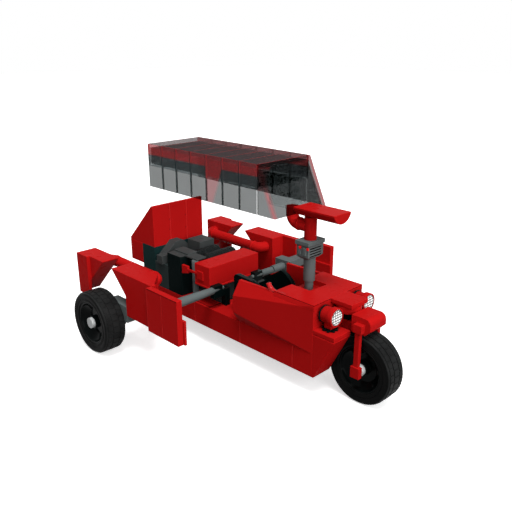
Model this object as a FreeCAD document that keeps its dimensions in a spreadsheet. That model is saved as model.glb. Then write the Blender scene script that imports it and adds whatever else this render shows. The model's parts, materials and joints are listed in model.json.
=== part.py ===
import FreeCAD, Part
import Sketcher
import math
import os

# Brick-built three wheeled car: one wheel in a fork at the nose, two wheels outboard of the rear
# fenders, an open cockpit, a column that carries a hollow smoked canopy, and an open engine bay.
# Frame: +X to the nose, +Y to the car's left, +Z up, origin on the floor under the middle.

# name: (millimetres, what it is)
SIZES = {
    "stud": (8.0, "pitch of the brick grid across and along"),
    "plate": (3.2, "height of one plate, a third of a brick"),
    "seam": (0.1, "half gap between two pieces of one row"),
    "groove_height": (0.8, "height of the groove round the foot of a tile"),
    "groove_depth": (0.4, "depth of the groove round the foot of a tile"),
    "front_axle": (95.3, "front axle ahead of the origin"),
    "tyre_gap": (0.2, "front tyre's rear edge ahead of the hood's front edge"),
    "axle_rise": (7.3, "axles above the underside of the beam"),
    "axle_lead": (8.4, "rear axle ahead of the bulkhead"),
    "wheel_gap": (0.75, "rear tyre outside the fender"),
    "tyre_radius": (22.5, "outer radius of every tyre"),
    "tyre_width": (15.7, "width of every tyre"),
    "tyre_shoulder": (1.6, "rounding of the tyre's shoulders"),
    "tyre_wall": (7.3, "height of the tyre over the rim"),
    "tyre_bead": (0.9, "how far the tyre's bead stands inside its side wall"),
    "rim_width": (13.6, "width of the rim over its lips"),
    "rim_lip": (1.0, "thickness of the rim's barrel"),
    "lip_roll": (1.6, "depth of the roll inside the rim's lip"),
    "dish_depth": (5.0, "depth of the rim's dished face"),
    "dish_slope": (5.0, "how far the dish narrows towards its floor"),
    "rim_web": (2.4, "thickness of the rim's web"),
    "hub_radius": (4.6, "outer radius of the rim's hub"),
    "hub_width": (10.4, "width of the rim's hub"),
    "axle_radius": (2.4, "radius of the axle pins"),
    "axle_play": (0.06, "radial running clearance of a wheel on its pin"),
    "bush_play": (0.15, "side clearance between a wheel's hub and its bush"),
    "bush_radius": (3.8, "radius of the bush on an axle pin"),
    "bush_length": (2.3, "length of the outer bush of a rear wheel"),
    "body_half": (24.0, "half width of the body"),
    "beam_height": (16.0, "height of the floor beam"),
    "nose_beam": (16.0, "length of the first floor beam"),
    "front_beam": (48.0, "length of the floor beam under the cockpit"),
    "mid_beam": (48.0, "length of the floor beam behind it"),
    "rear_beam": (64.0, "length of the frame under the engine"),
    "deck_lip": (0.9, "lip of the beam beside the deck tile"),
    "deck_gap": (0.3, "groove between the lip and the deck tile"),
    "hood_length": (32.0, "length of the hood"),
    "hood_rise": (32.0, "hood's top above the floor beam"),
    "hood_hole": (16.0, "length and width of the hole that the column stands in"),
    "nose_length": (16.0, "length of the plate ahead of the hood"),
    "nose_half": (8.0, "half width of the plate ahead of the hood"),
    "chin_drop": (16.0, "chin blocks' top below the hood's top"),
    "chin_length": (16.0, "length of the chin blocks"),
    "chin_toe": (1.2, "thickness of a chin block at its lowest edge"),
    "chin_gap": (0.45, "clearance between the front tyre and a chin block"),
    "panel_thick": (8.0, "thickness of a side panel beside the hood"),
    "panel_wall": (2.0, "thickness of a side panel beside the cockpit"),
    "panel_bulge": (6.0, "how far a side panel bulges out at its rear end"),
    "panel_fall": (1.6, "how far a side panel's top edge falls towards the rear"),
    "crease_low": (9.0, "lower crease of the bulge above the panel's foot"),
    "crease_high": (21.0, "upper crease of the bulge above the panel's foot"),
    "handle_radius": (1.6, "radius of the cockpit handle"),
    "handle_seat": (9.0, "length of the handle that lies in the hood's edge"),
    "handle_curl": (7.2, "radius of the handle's curl"),
    "handle_play": (0.02, "clearance round the handle"),
    "seat_lead": (17.5, "seat's front edge ahead of the cockpit's rear end"),
    "seat_length": (31.5, "length of the seat"),
    "seat_half": (16.0, "half width of the seat"),
    "seat_wing": (3.2, "thickness of the seat's wings"),
    "seat_height": (29.0, "height of the seat's wings"),
    "seat_front": (12.0, "height of the wings at the seat's front edge"),
    "seat_round": (20.0, "radius of the wings' front curve"),
    "seat_run": (14.5, "length of the wings' front curve"),
    "seat_lobe": (3.2, "radius of the wings' rear corner"),
    "seat_back": (17.0, "height of the seat's back between the wings"),
    "cushion": (5.0, "height of the seat's cushion"),
    "lamp_radius": (6.0, "outer radius of a headlamp's ring"),
    "lamp_wall": (1.0, "thickness of a headlamp's ring"),
    "lamp_length": (9.8, "length of a headlamp"),
    "lamp_collar": (3.4, "length of a headlamp's front ring"),
    "lamp_lift": (3.2, "gap between a headlamp and the chin block"),
    "lamp_standoff": (1.6, "headlamp's back ahead of the hood's front edge"),
    "lamp_stub": (3.0, "radius of the stub behind a headlamp"),
    "lamp_back": (0.9, "thickness of the black ring behind a headlamp"),
    "lens_depth": (1.6, "thickness of a headlamp's lens"),
    "stand_width": (4.8, "width of a headlamp's stand"),
    "stand_length": (5.0, "length of a headlamp's stand"),
    "clip_radius": (5.0, "outer radius of the toothed clip on a chin block"),
    "clip_notch": (1.1, "depth of the notches of the toothed clip"),
    "clip_height": (1.3, "height of the toothed clip"),
    "blade_gap": (0.55, "clearance between the front tyre and a fork blade"),
    "blade_thick": (2.4, "thickness of a fork blade"),
    "blade_width": (3.4, "width of a fork blade"),
    "foot_length": (6.2, "length of the foot of a fork blade"),
    "foot_height": (7.2, "height of the foot of a fork blade"),
    "shoulder_proud": (0.8, "how far a fork's shoulder stands outside the blade"),
    "head_gap": (1.8, "clearance between the front tyre and the fork's head"),
    "head_height": (11.0, "height of the fork's head"),
    "head_length": (13.6, "length of the fork's head"),
    "head_half": (8.0, "half width of the fork's head"),
    "head_round": (4.2, "radius of the fork head's upper front edge"),
    "head_chin": (3.8, "height and length of the slope under the fork head's front"),
    "block_drop": (7.6, "fork block's top below the fork head's top"),
    "block_height": (5.4, "height of the block behind the fork's head"),
    "block_half": (4.0, "half width of the block behind the fork's head"),
    "dish_height": (4.2, "height of the dish under the nose plate"),
    "pin_radius": (3.0, "radius of the fork pin"),
    "column_inset": (7.6, "column's axis ahead of the hood's rear edge"),
    "foot_radius": (2.8, "radius of the column's foot"),
    "foot_rise": (6.2, "height of the column's foot"),
    "stage_radius": (3.8, "radius of the column's thicker stage"),
    "stage_rise": (15.5, "height of the column's thicker stage"),
    "box_height": (11.9, "height of the control box"),
    "box_length": (11.2, "length of the control box"),
    "box_half": (8.0, "half width of the control box"),
    "box_step": (0.8, "how far the control box's top stands out"),
    "box_chamfer": (1.6, "chamfer round the control box's underside"),
    "slot_height": (0.8, "height of a slot in the control box's grille"),
    "slot_pitch": (1.7, "pitch of the slots in the control box's grille"),
    "lever_width": (2.2, "width of a lever plate on the control box"),
    "lever_height": (4.8, "height of a lever plate on the control box"),
    "lever_proud": (0.9, "how far a lever plate stands out"),
    "tube_radius": (4.0, "radius of the red tubes"),
    "tube_rise": (14.4, "height of the column's tube"),
    "cap_height": (6.4, "height of the column's cap"),
    "cap_half": (8.0, "half width of the column's cap"),
    "cap_edge": (1.0, "height of the cap's straight edge"),
    "cap_tail": (7.6, "cap's rear end behind the column's axis"),
    "branch_rise": (8.1, "branch tube's axis above the control box"),
    "branch_climb": (10.5, "branch tube's end above its axis"),
    "branch_bend": (6.0, "radius of the branch tube's bend"),
    "branch_clear": (2.0, "branch tube behind the windscreen's lower edge"),
    "ring_proud": (0.35, "how far a tube's joint ring stands out"),
    "ring_width": (1.0, "width of a tube's joint ring"),
    "screen_gap": (0.2, "windscreen's lower edge behind the cap"),
    "canopy_set": (8.0, "canopy's first panel behind the branch tube's end"),
    "canopy_panel": (16.0, "length of one canopy panel"),
    "canopy_lift": (1.2, "canopy's lower edge above the cap's underside"),
    "canopy_height": (31.2, "height of the canopy"),
    "canopy_wall": (1.6, "thickness of the canopy's walls"),
    "canopy_roof": (2.8, "thickness of the canopy's roof"),
    "canopy_shelf": (1.2, "thickness of the shelf at half the canopy's height"),
    "screen_slot": (0.7, "width of the slot between the windscreen and the first panel, under the shelf"),
    "screen_brow": (1.2, "length of the windscreen's upper edge"),
    "tie_lead": (1.4, "tie block's lower front edge ahead of the branch tube's axis"),
    "tie_slope": (4.0, "how far the tie block's front slopes back"),
    "tie_length": (14.4, "length of the tie block's underside"),
    "tie_half": (8.0, "half width of the tie block"),
    "rear_offset": (1.6, "rear pieces stand this far forward of the grid"),
    "rear_rise": (30.4, "level of the rear pieces above the floor beam"),
    "bay_length": (16.0, "length of the red engine box"),
    "bay_height": (16.0, "height of the red engine box"),
    "bay_flange": (1.2, "height of the flange under the engine box"),
    "flange_proud": (0.3, "how far the engine box's flange stands out"),
    "bay_stand": (12.0, "length of the stand under the engine box, and its half width"),
    "tower_gap": (16.0, "gap between the engine box and the black tower"),
    "tower_length": (16.0, "length of the black tower"),
    "tower_width": (16.0, "width of the black tower"),
    "tower_round": (1.2, "radius of the black tower's edge"),
    "lid_thick": (1.1, "thickness of the tower's lid"),
    "lid_width": (9.0, "width of the tower's lid"),
    "lid_inset": (3.0, "lid's middle inside the tower's middle"),
    "lid_shift": (2.0, "lid's front part outside its rear part"),
    "lid_step": (0.6, "lid's front part below its rear part"),
    "lid_short": (3.0, "lid's front end behind the engine box"),
    "post_gap": (5.0, "grey post's axis behind the engine box"),
    "post_inset": (4.5, "grey post's axis inside the body's side"),
    "sump_height": (20.0, "height of the sump"),
    "drum_radius": (5.5, "outer radius of the ribbed drums"),
    "drum_groove": (0.8, "depth of the grooves between a drum's ribs"),
    "drum_rib": (1.1, "width of a drum's ribs and of its grooves"),
    "air_back": (8.4, "air box's rear end ahead of the bulkhead"),
    "air_length": (14.8, "length of the air box"),
    "air_width": (14.4, "width of the air box"),
    "air_height": (14.0, "height of the air box"),
    "gable_length": (7.8, "length of the gabled cover"),
    "gable_height": (13.8, "height of the gabled cover over the sump"),
    "gable_half": (14.0, "half width of the gabled cover"),
    "gable_eaves": (4.5, "height of the gabled cover's edges over the sump"),
    "gable_ridge": (3.5, "half width of the gabled cover's ridge"),
    "gable_side": (6.0, "gabled cover's ridge outside the middle"),
    "peg_height": (6.5, "height of the peg on the gabled cover's side"),
    "peg_length": (6.8, "length of the peg on the gabled cover's side"),
    "peg_proud": (2.0, "how far the peg stands out"),
    "lever_reach": (13.8, "service lever's rear end behind the engine box's rear end"),
    "lever_head": (6.8, "length and height of the service lever's head"),
    "lever_arm": (1.8, "height of the service lever's arm"),
    "lever_pad": (6.4, "length and height of the service lever's pad"),
    "bulkhead_gap": (16.0, "gap between the black tower and the bulkhead"),
    "bulkhead_length": (16.0, "length of the bulkhead"),
    "tail_length": (16.0, "length of the tail block behind the bulkhead"),
    "tail_height": (16.4, "height of the tail block"),
    "slope_height": (32.0, "height of the rear slope above its foot"),
    "slope_lip": (1.6, "height of the rear slope's lowest edge"),
    "slope_crest": (2.0, "thickness of the rear slope's top edge"),
    "fender_gap": (32.0, "gap between the body and a fender"),
    "fender_width": (16.0, "width of the fenders"),
    "fender_height": (31.2, "height of the fenders"),
    "fender_panel": (16.0, "length of one outer fender panel"),
    "fender_skin": (4.0, "thickness of the fenders' outer panels"),
    "fender_lip": (0.6, "height of the front fender's rear edge"),
    "tail_skin": (2.4, "thickness of the skin at a tail fender's rear end"),
    "tail_strip": (14.4, "length of that skin"),
    "tail_foot": (1.6, "length of a tail fender's lowest edge"),
    "layer_thick": (1.6, "thickness of the layer inside the outer panels"),
    "layer_drop": (14.0, "inner layer's top below the fender's top"),
    "arm_gap": (2.9, "axis of the cross arms ahead of the engine box"),
    "arm_drop": (16.0, "axis of the cross arms below the rear pieces' level"),
    "arm_radius": (2.9, "radius of a cross arm's outer stage"),
    "arm_middle": (2.5, "radius of a cross arm's middle stage"),
    "arm_neck": (1.9, "radius of a cross arm's taper at its thick end"),
    "arm_tip": (1.2, "radius of a cross arm's tip"),
    "arm_stage": (12.0, "length of a stage of a cross arm"),
    "arm_taper": (10.0, "length of a cross arm's taper"),
    "arm_ring": (0.6, "width of the groove between a cross arm's stages"),
    "block_length": (16.0, "length of the block at a cross arm's end"),
    "clamp_length": (4.0, "length of the clamp that holds a cross arm's tip"),
    "clamp_width": (5.0, "width of the clamp that holds a cross arm's tip"),
    "clamp_half": (3.0, "clamp above and below the arm's axis"),
    "clamp_leg": (9.0, "clamp's foot beside the middle"),
    "pipe_inset": (7.0, "axis of a side pipe inboard of its fender"),
    "pipe_stub": (0.6, "straight end of a side pipe at its fender"),
    "pipe_drop": (8.0, "axis of the side pipes below the rear pieces' level"),
    "pipe_lead": (7.6, "side pipe's front end behind the engine box"),
    "pipe_tail": (5.6, "side pipe's rear end behind the bulkhead"),
    "knuckle_radius": (9.6, "radius of a knuckle's boss"),
    "knuckle_width": (8.0, "width of a knuckle"),
    "knuckle_low": (2.4, "underside of a knuckle's arm above the axle"),
    "knuckle_high": (14.4, "top of a knuckle's arm above the axle"),
}

doc = FreeCAD.newDocument("ThreeWheeledCar")
sheet = doc.addObject("Spreadsheet::Sheet", "Sizes")
for row, (alias, (value, note)) in enumerate(SIZES.items(), start=1):
    sheet.set(f"A{row}", alias)
    sheet.set(f"B{row}", str(value))
    sheet.set(f"C{row}", note)
    sheet.setAlias(f"B{row}", alias)
doc.recompute()


class Length:
    """A length that carries its value and the expression that binds it to the sheet."""

    def __init__(self, text, value):
        self.text = text
        self.value = value

    def __float__(self):
        return self.value

    def joined(self, sign, other, value):
        return Length(f"({self.text} {sign} {text_of(other)})", value)

    def __add__(self, other):
        return self.joined("+", other, self.value + float(other))

    def __sub__(self, other):
        return self.joined("-", other, self.value - float(other))

    def __mul__(self, other):
        return self.joined("*", other, self.value * float(other))

    def __truediv__(self, other):
        return self.joined("/", other, self.value / float(other))

    def __radd__(self, other):
        return Length(str(other), float(other)) + self

    def __rsub__(self, other):
        return Length(str(other), float(other)) - self

    def __rmul__(self, other):
        return self * other

    def __neg__(self):
        return 0 - self


def text_of(length):
    return length.text if isinstance(length, Length) else str(length)


class Sheet:
    """Gives each alias of the sheet as a length."""

    def __getattr__(self, alias):
        return Length("Sizes." + alias, float(sheet.get(alias)))


S = Sheet()
NODES = []
HANDLE_TURN = math.radians(70)
CLIP_TEETH = 8
SLOTS = 4
PANELS = 7
TOOTH_HALF = 0.35

# Places along the car, measured back from the hood's front edge
NOSE = S.front_axle - S.tyre_radius - S.tyre_gap
COCKPIT = S.nose_beam + S.front_beam
DECK_END = COCKPIT + S.mid_beam
REAR = COCKPIT - S.rear_offset
BAY = REAR + S.fender_panel * 2
BAY_END = BAY + S.bay_length
TOWER = BAY_END + S.tower_gap
TOWER_END = TOWER + S.tower_length
BULKHEAD = TOWER_END + S.bulkhead_gap
BULKHEAD_END = BULKHEAD + S.bulkhead_length
TAIL = BULKHEAD_END + S.tail_length
AXLE = BULKHEAD - S.axle_lead
COLUMN = S.hood_length - S.column_inset
CAP_REAR = COLUMN + S.cap_tail
SCREEN = CAP_REAR + S.screen_gap
BRANCH = SCREEN + S.canopy_wall + S.branch_clear + S.tube_radius
CANOPY = BRANCH + S.canopy_set

# Heights above the floor
BASE = S.tyre_radius - S.axle_rise
DECK = BASE + S.beam_height
HOOD = DECK + S.hood_rise
HOOD_LOW = HOOD - S.plate
CHIN = HOOD - S.chin_drop
LEVEL = DECK + S.rear_rise
SUMP = DECK + S.sump_height
FENDER_LOW = LEVEL - S.fender_height
BOX_LOW = HOOD_LOW + S.foot_rise + S.stage_rise
BOX_HIGH = BOX_LOW + S.box_height
CAP_LOW = BOX_HIGH + S.tube_rise
CAP_HIGH = CAP_LOW + S.cap_height
CANOPY_LOW = CAP_LOW + S.canopy_lift
SHELF = CANOPY_LOW + S.canopy_height / 2
CANOPY_HIGH = CANOPY_LOW + S.canopy_height

# Places beside the middle
FENDER_IN = S.body_half + S.fender_gap
FENDER_OUT = FENDER_IN + S.fender_width
WHEEL = FENDER_OUT + S.wheel_gap + S.tyre_width / 2
CHIN_IN = S.tyre_width / 2 + S.chin_gap
BLADE_IN = S.tyre_width / 2 + S.blade_gap
BLADE_OUT = BLADE_IN + S.blade_thick
LAMP = S.nose_half + S.stud


def back(length):
    """Place behind the hood's front edge."""
    return NOSE - length


def bind(item, **values):
    """Binds properties to the sheet; two underscores stand for a dot."""
    for name, length in values.items():
        item.setExpression(name.replace("__", "."), text_of(length))
    return item


def place(item, x=0, y=0, z=0):
    """Binds an object's position."""
    return bind(item, Placement__Base__x=x, Placement__Base__y=y, Placement__Base__z=z)


def node(label, item):
    """Marks an object as one sub-part of the car."""
    item.Label = label
    NODES.append(item)
    return item


def box(name, x, y, z):
    """Box between two planes on each axis; each pair holds its low and high place."""
    item = doc.addObject("Part::Box", name)
    bind(item, Length=x[1] - x[0], Width=y[1] - y[0], Height=z[1] - z[0])
    return place(item, x[0], y[0], z[0])


def wide_box(name, x, half, z):
    """Box that reaches as far to the left as to the right."""
    return box(name, x, (-half, half), z)


TURNS = {
    "x": FreeCAD.Rotation(FreeCAD.Vector(0, 1, 0), 90),
    "y": FreeCAD.Rotation(FreeCAD.Vector(1, 0, 0), -90),
    "z": FreeCAD.Rotation(),
}


def rod(name, axis, start, radius, length):
    """Round bar that runs along an axis from its start point."""
    item = doc.addObject("Part::Cylinder", name)
    item.Placement = FreeCAD.Placement(FreeCAD.Vector(), TURNS[axis])
    bind(item, Radius=radius, Height=length)
    return place(item, *start)


def fuse(name, *items):
    """One solid of several that meet."""
    item = doc.addObject("Part::MultiFuse", name)
    item.Shapes = list(items)
    item.Refine = True
    return item


def cut(name, base, *tools):
    """A solid less the tools."""
    item = doc.addObject("Part::Cut", name)
    item.Base = base
    item.Tool = tools[0] if len(tools) == 1 else fuse(name + "Tools", *tools)
    item.Refine = True
    return item


def common(name, *items):
    """What several solids share."""
    item = doc.addObject("Part::MultiCommon", name)
    item.Shapes = list(items)
    item.Refine = True
    return item


def mirror(name, source):
    """The same piece on the other side of the car."""
    item = doc.addObject("Part::Mirroring", name)
    item.Source = source
    item.Normal = FreeCAD.Vector(0, 1, 0)
    return item


def group(name, *items):
    """Like pieces that don't touch."""
    item = doc.addObject("Part::Compound", name)
    item.Links = list(items)
    return item


def pair(name, source):
    """A piece and its mirror image, as two solids that don't touch."""
    return group(name, source, mirror(name + "Mirror", source))


PLANES = {"side": "XZ_Plane", "top": "XY_Plane", "end": "YZ_Plane"}
AXES = {"side": "y", "top": "z", "end": "x"}


def arc_between(start, finish, radius):
    """Arc from one spot to the next; it bends left, or right for a radius below zero."""
    chord = finish - start
    half = chord.Length / 2
    left = FreeCAD.Vector(-chord.y, chord.x, 0).normalize()
    reach = math.sqrt(radius * radius - half * half)
    centre = (start + finish) * 0.5 + left * math.copysign(reach, radius)
    first, last = (start, finish) if radius > 0 else (finish, start)
    circle = Part.Circle(centre, FreeCAD.Vector(0, 0, 1), abs(radius))
    angles = [math.atan2(spot.y - centre.y, spot.x - centre.x) for spot in (first, last)]
    if angles[1] < angles[0]:
        angles[1] += 2 * math.pi
    return Part.ArcOfCircle(circle, *angles)


def outline(body, name, plane, corners):
    """Sketch of a closed outline bound to the sheet; a third value makes a corner's edge an arc."""
    sketch = body.newObject("Sketcher::SketchObject", name)
    planes = {part.Role: part for part in body.Origin.OriginFeatures}
    sketch.AttachmentSupport = [(planes[PLANES[plane]], "")]
    sketch.MapMode = "FlatFace"
    spots = [FreeCAD.Vector(float(corner[0]), float(corner[1]), 0) for corner in corners]
    ends = []
    for corner, spot, following in zip(corners, spots, spots[1:] + spots[:1]):
        radius = float(corner[2]) if len(corner) > 2 else 0
        edge = arc_between(spot, following, radius) if radius else Part.LineSegment(spot, following)
        sketch.addGeometry(edge)
        ends.append((2, 1) if radius < 0 else (1, 2))
    for edge, (_, finish) in enumerate(ends):
        following = (edge + 1) % len(ends)
        sketch.addConstraint(Sketcher.Constraint("Coincident", edge, finish, following, ends[following][0]))
    for edge, corner in enumerate(corners):
        for kind, title, length in zip(("DistanceX", "DistanceY"), "xy", corner):
            rule = Sketcher.Constraint(kind, -1, 1, edge, ends[edge][0], float(length))
            index = sketch.addConstraint(rule)
            sketch.renameConstraint(index, f"{title}{edge}")
            sketch.setExpression(f"Constraints.{title}{edge}", text_of(length))
        if len(corner) > 2:
            radius = corner[2] if float(corner[2]) > 0 else -corner[2]
            index = sketch.addConstraint(Sketcher.Constraint("Radius", edge, float(radius)))
            sketch.renameConstraint(index, f"r{edge}")
            sketch.setExpression(f"Constraints.r{edge}", text_of(radius))
    return sketch


def prism(name, plane, corners, start, depth):
    """Outline carried straight: along Y in side view, along Z from above, along X from an end."""
    body = doc.addObject("PartDesign::Body", name)
    sketch = outline(body, name + "Outline", plane, corners)
    pad = body.newObject("PartDesign::Pad", name + "Pad")
    pad.Profile = sketch
    pad.Reversed = plane == "side"
    bind(pad, Length=depth)
    bind(body, **{"Placement__Base__" + AXES[plane]: start})
    return body


def turned(name, corners, x, y, z):
    """Solid of revolution about an axis along Y; corners are (place along Y, radius)."""
    body = doc.addObject("PartDesign::Body", name)
    spots = [(radius, along) for along, radius in corners]
    sketch = outline(body, name + "Outline", "top", spots)
    spin = body.newObject("PartDesign::Revolution", name + "Spin")
    spin.Profile = sketch
    spin.ReferenceAxis = (sketch, ["V_Axis"])
    spin.Angle = 360
    return place(body, x, y, z)


def feature(name, shape):
    """Shape that neither a body nor a primitive fits."""
    item = doc.addObject("Part::Feature", name)
    item.Shape = shape
    return item


def wire(points):
    """Closed wire through points."""
    return Part.makePolygon(list(points) + [points[0]])


def faceted(faces):
    """Solid with the given flat faces."""
    shell = Part.Shell([Part.Face(wire([FreeCAD.Vector(*spot) for spot in face])) for face in faces])
    solid = Part.Solid(shell)
    if solid.Volume < 0:
        solid.reverse()
    return solid


def tile(name, x, y, low):
    """Tile one plate high with a groove round its foot."""
    inset = S.groove_depth
    lip = low + S.groove_height
    neck = box(name + "Neck", (x[0] + inset, x[1] - inset), (y[0] + inset, y[1] - inset), (low, lip))
    slab = box(name + "Slab", x, y, (lip, low + S.plate))
    return fuse(name, neck, slab)


def wheel(label, x, y, side):
    """Tyre and dished rim; side is 1 where the dish looks to the left and -1 to the right."""
    half = S.tyre_width / 2
    crown = S.tyre_radius
    seat = crown - S.tyre_wall
    shoulder = S.tyre_shoulder
    bead = half - S.tyre_bead
    tyre = turned(label + "Tyre", [
        (-bead, seat), (bead, seat), (half, seat + shoulder / 2), (half, crown - shoulder),
        (half - shoulder, crown), (shoulder - half, crown), (-half, crown - shoulder),
        (-half, seat + shoulder / 2)], x, y, S.tyre_radius)
    node(label + "_tyre", tyre)
    face = S.rim_width / 2
    bore = S.axle_radius + S.axle_play
    lip = seat - S.rim_lip
    roll = S.lip_roll
    hub = S.hub_radius
    floor = face - S.dish_depth
    web = floor - S.rim_web
    hub_out = S.hub_width / 2
    corners = [
        (face, seat), (face, lip), (face - roll, lip - roll / 2), (floor, lip - S.dish_slope),
        (floor, hub), (hub_out, hub), (hub_out, bore), (-hub_out, bore), (-hub_out, hub), (web, hub),
        (web, lip), (-face, lip), (-face, seat)]
    rim = turned(label + "Rim", [(along * side, radius) for along, radius in corners], x, y,
                 S.tyre_radius)
    node(label + "_rim", rim)


def wheels():
    wheel("front", S.front_axle, 0 * S.stud, -1)
    wheel("left", back(AXLE), WHEEL, 1)
    wheel("right", back(AXLE), -WHEEL, -1)


def floor_pieces():
    seam = S.seam
    nose = wide_box("NoseBeam", (back(S.nose_beam - seam), back(0)), S.body_half, (BASE, DECK))
    front = wide_box("FrontBeam", (back(COCKPIT - seam), back(S.nose_beam + seam)), S.body_half, (BASE, DECK))
    node("front_beam", group("FrontBeams", nose, front))
    whole = wide_box("MidBeamWhole", (back(DECK_END - seam), back(COCKPIT + seam)), S.body_half, (BASE, DECK))
    pocket_half = S.body_half - S.deck_lip
    pocket = wide_box("DeckPocket", (back(DECK_END), back(DECK_END - S.stud * 2)), pocket_half,
                      (DECK - S.plate, DECK + S.plate))
    node("mid_beam", cut("MidBeam", whole, pocket))
    node("deck_tile", wide_box("DeckTile", (back(DECK_END - seam), back(DECK_END - S.stud * 2 + S.deck_gap)),
                               pocket_half - S.deck_gap, (DECK - S.plate, DECK)))
    frame = wide_box("RearBeamBlock", (back(DECK_END + S.rear_beam), back(DECK_END + seam)), S.body_half,
                     (BASE, DECK))
    bore = rod("RearBeamBore", "y", (back(AXLE), -S.body_half, S.tyre_radius), S.axle_radius,
               S.body_half * 2)
    node("rear_beam", cut("RearBeam", frame, bore))


def handle_path(name, radius):
    """Round bar that lies in the hood's edge and curls up at its rear end."""
    y = float(S.handle_radius - S.body_half)
    z = float(HOOD - S.handle_radius)
    curl = float(S.handle_curl)
    start = FreeCAD.Vector(float(back(S.hood_length - S.handle_seat)), y, z)
    level = FreeCAD.Vector(float(back(S.hood_length)), y, z)
    spots = [FreeCAD.Vector(level.x - curl * math.sin(turn), y, z + curl * (1 - math.cos(turn)))
             for turn in (HANDLE_TURN / 2, HANDLE_TURN)]
    path = Part.Wire([Part.LineSegment(start, level).toShape(), Part.Arc(level, *spots).toShape()])
    section = Part.Wire(Part.makeCircle(float(radius), start, FreeCAD.Vector(1, 0, 0)))
    return feature(name, path.makePipeShell([section], True, True))


def hood_pieces():
    inner = S.body_half - S.panel_thick
    node("hood_block", wide_box("HoodBlock", (back(S.hood_length), back(0)), inner - S.seam, (DECK, HOOD_LOW)))
    blank = tile("HoodBlank", (back(S.hood_length), back(0)), (-S.body_half, S.body_half), HOOD_LOW)
    hole = wide_box("HoodHole", (back(S.hood_length + S.stud), back(S.hood_length - S.hood_hole)),
                    S.hood_hole / 2, (HOOD_LOW - S.plate, HOOD + S.plate))
    node("hood_tile", cut("HoodTile", blank, hole, handle_path("HandleSpace", S.handle_radius + S.handle_play)))
    node("nose_plate", tile("NosePlate", (back(0), back(-S.nose_length)), (-S.nose_half, S.nose_half),
                            HOOD_LOW))
    node("cockpit_handle", handle_path("CockpitHandle", S.handle_radius))


def side_panel():
    """Cockpit side: thick beside the hood, a thin wall beside the seat, with a bulging outer skin."""
    inner = S.body_half - S.panel_thick
    rear = back(COCKPIT)
    rear_top = HOOD - S.panel_fall
    thick = box("SidePanelFront", (back(S.hood_length), back(0)), (inner, S.body_half), (DECK, HOOD_LOW))
    wall = prism("SidePanelWall", "side", [
        (rear, DECK), (back(S.hood_length), DECK), (back(S.hood_length), HOOD - S.panel_fall / 2),
        (rear, rear_top)], S.body_half - S.panel_wall, S.panel_wall)
    skin_y = float(S.body_half)
    out_y = float(S.body_half + S.panel_bulge)
    front_x = float(back(0))
    rear_x = float(rear)
    low = (rear_x, out_y, float(DECK + S.crease_low))
    high = (rear_x, out_y, float(DECK + S.crease_high))
    rear_low = (rear_x, skin_y, float(DECK))
    rear_high = (rear_x, skin_y, float(rear_top))
    front_low = (front_x, skin_y, float(DECK))
    front_high = (front_x, skin_y, float(rear_top))
    bulge = feature("SidePanelBulge", faceted([
        (rear_low, low, front_low), (low, high, front_high, front_low),
        (high, rear_high, front_high), (rear_low, rear_high, high, low),
        (rear_low, front_low, front_high, rear_high)]))
    over = wide_box("SidePanelHoodSpace", (back(S.hood_length), back(-S.stud)),
                    S.body_half + S.panel_bulge, (HOOD_LOW, HOOD + S.plate))
    return cut("SidePanel", fuse("SidePanelWhole", thick, wall, bulge), over)


def seat_piece():
    """Moulded seat: a cushion, a low back and two wings with rounded outlines; the far one falls back."""
    front = COCKPIT - S.seat_lead
    rear = front + S.seat_length
    top = DECK + S.seat_height
    curve_end = front + S.seat_run
    shell = prism("SeatShell", "side", [
        (back(rear), DECK), (back(front), DECK), (back(front), DECK + S.cushion),
        (back(rear - S.seat_wing * 2), DECK + S.cushion + S.seat_wing, S.seat_wing * -2),
        (back(rear - S.seat_wing), DECK + S.seat_back), (back(rear), DECK + S.seat_back)],
        -S.seat_half, S.seat_half * 2)
    curve = [(back(rear), DECK), (back(front), DECK), (back(front), DECK + S.seat_front, S.seat_round),
             (back(curve_end), top - S.plate / 4)]
    far = prism("SeatFarWing", "side", curve + [(back(rear), DECK + S.seat_back)],
                S.seat_half - S.seat_wing, S.seat_wing)
    near = prism("SeatNearWing", "side",
                 curve + [(back(rear - S.seat_lobe), top, S.seat_lobe), (back(rear), top - S.seat_lobe)],
                 -S.seat_half, S.seat_wing)
    node("seat", fuse("Seat", shell, far, near))


def cockpit_pieces():
    panel = side_panel()
    node("left_side_panel", panel)
    right = mirror("RightSidePanelWhole", panel)
    space = handle_path("PanelHandleSpace", S.handle_radius + S.handle_play)
    node("right_side_panel", cut("RightSidePanel", right, space))
    seat_piece()


def chin_pieces():
    """Blocks under the headlamps: a tile on top and a front that slopes back to the beam."""
    tile_low = CHIN - S.plate
    block = prism("ChinBlock", "side", [
        (back(0), BASE), (back(-S.chin_toe), BASE), (back(-S.chin_length), tile_low), (back(0), tile_low)],
        CHIN_IN, S.body_half - CHIN_IN)
    cover = tile("ChinTile", (back(0), back(-S.chin_length)), (CHIN_IN, S.body_half), tile_low)
    node("chin_blocks", pair("ChinBlocks", fuse("Chin", block, cover)))


def toothed(name, x, y, low):
    """Round clip whose rim is notched all round."""
    corners = []
    for tooth in range(CLIP_TEETH * 2):
        radius = S.clip_radius if tooth % 2 else S.clip_radius - S.clip_notch
        for turn in (tooth - TOOTH_HALF, tooth + TOOTH_HALF):
            angle = math.pi * turn / CLIP_TEETH
            corners.append((x + radius * math.cos(angle), y + radius * math.sin(angle)))
    return prism(name, "top", corners, low, S.clip_height)


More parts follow.
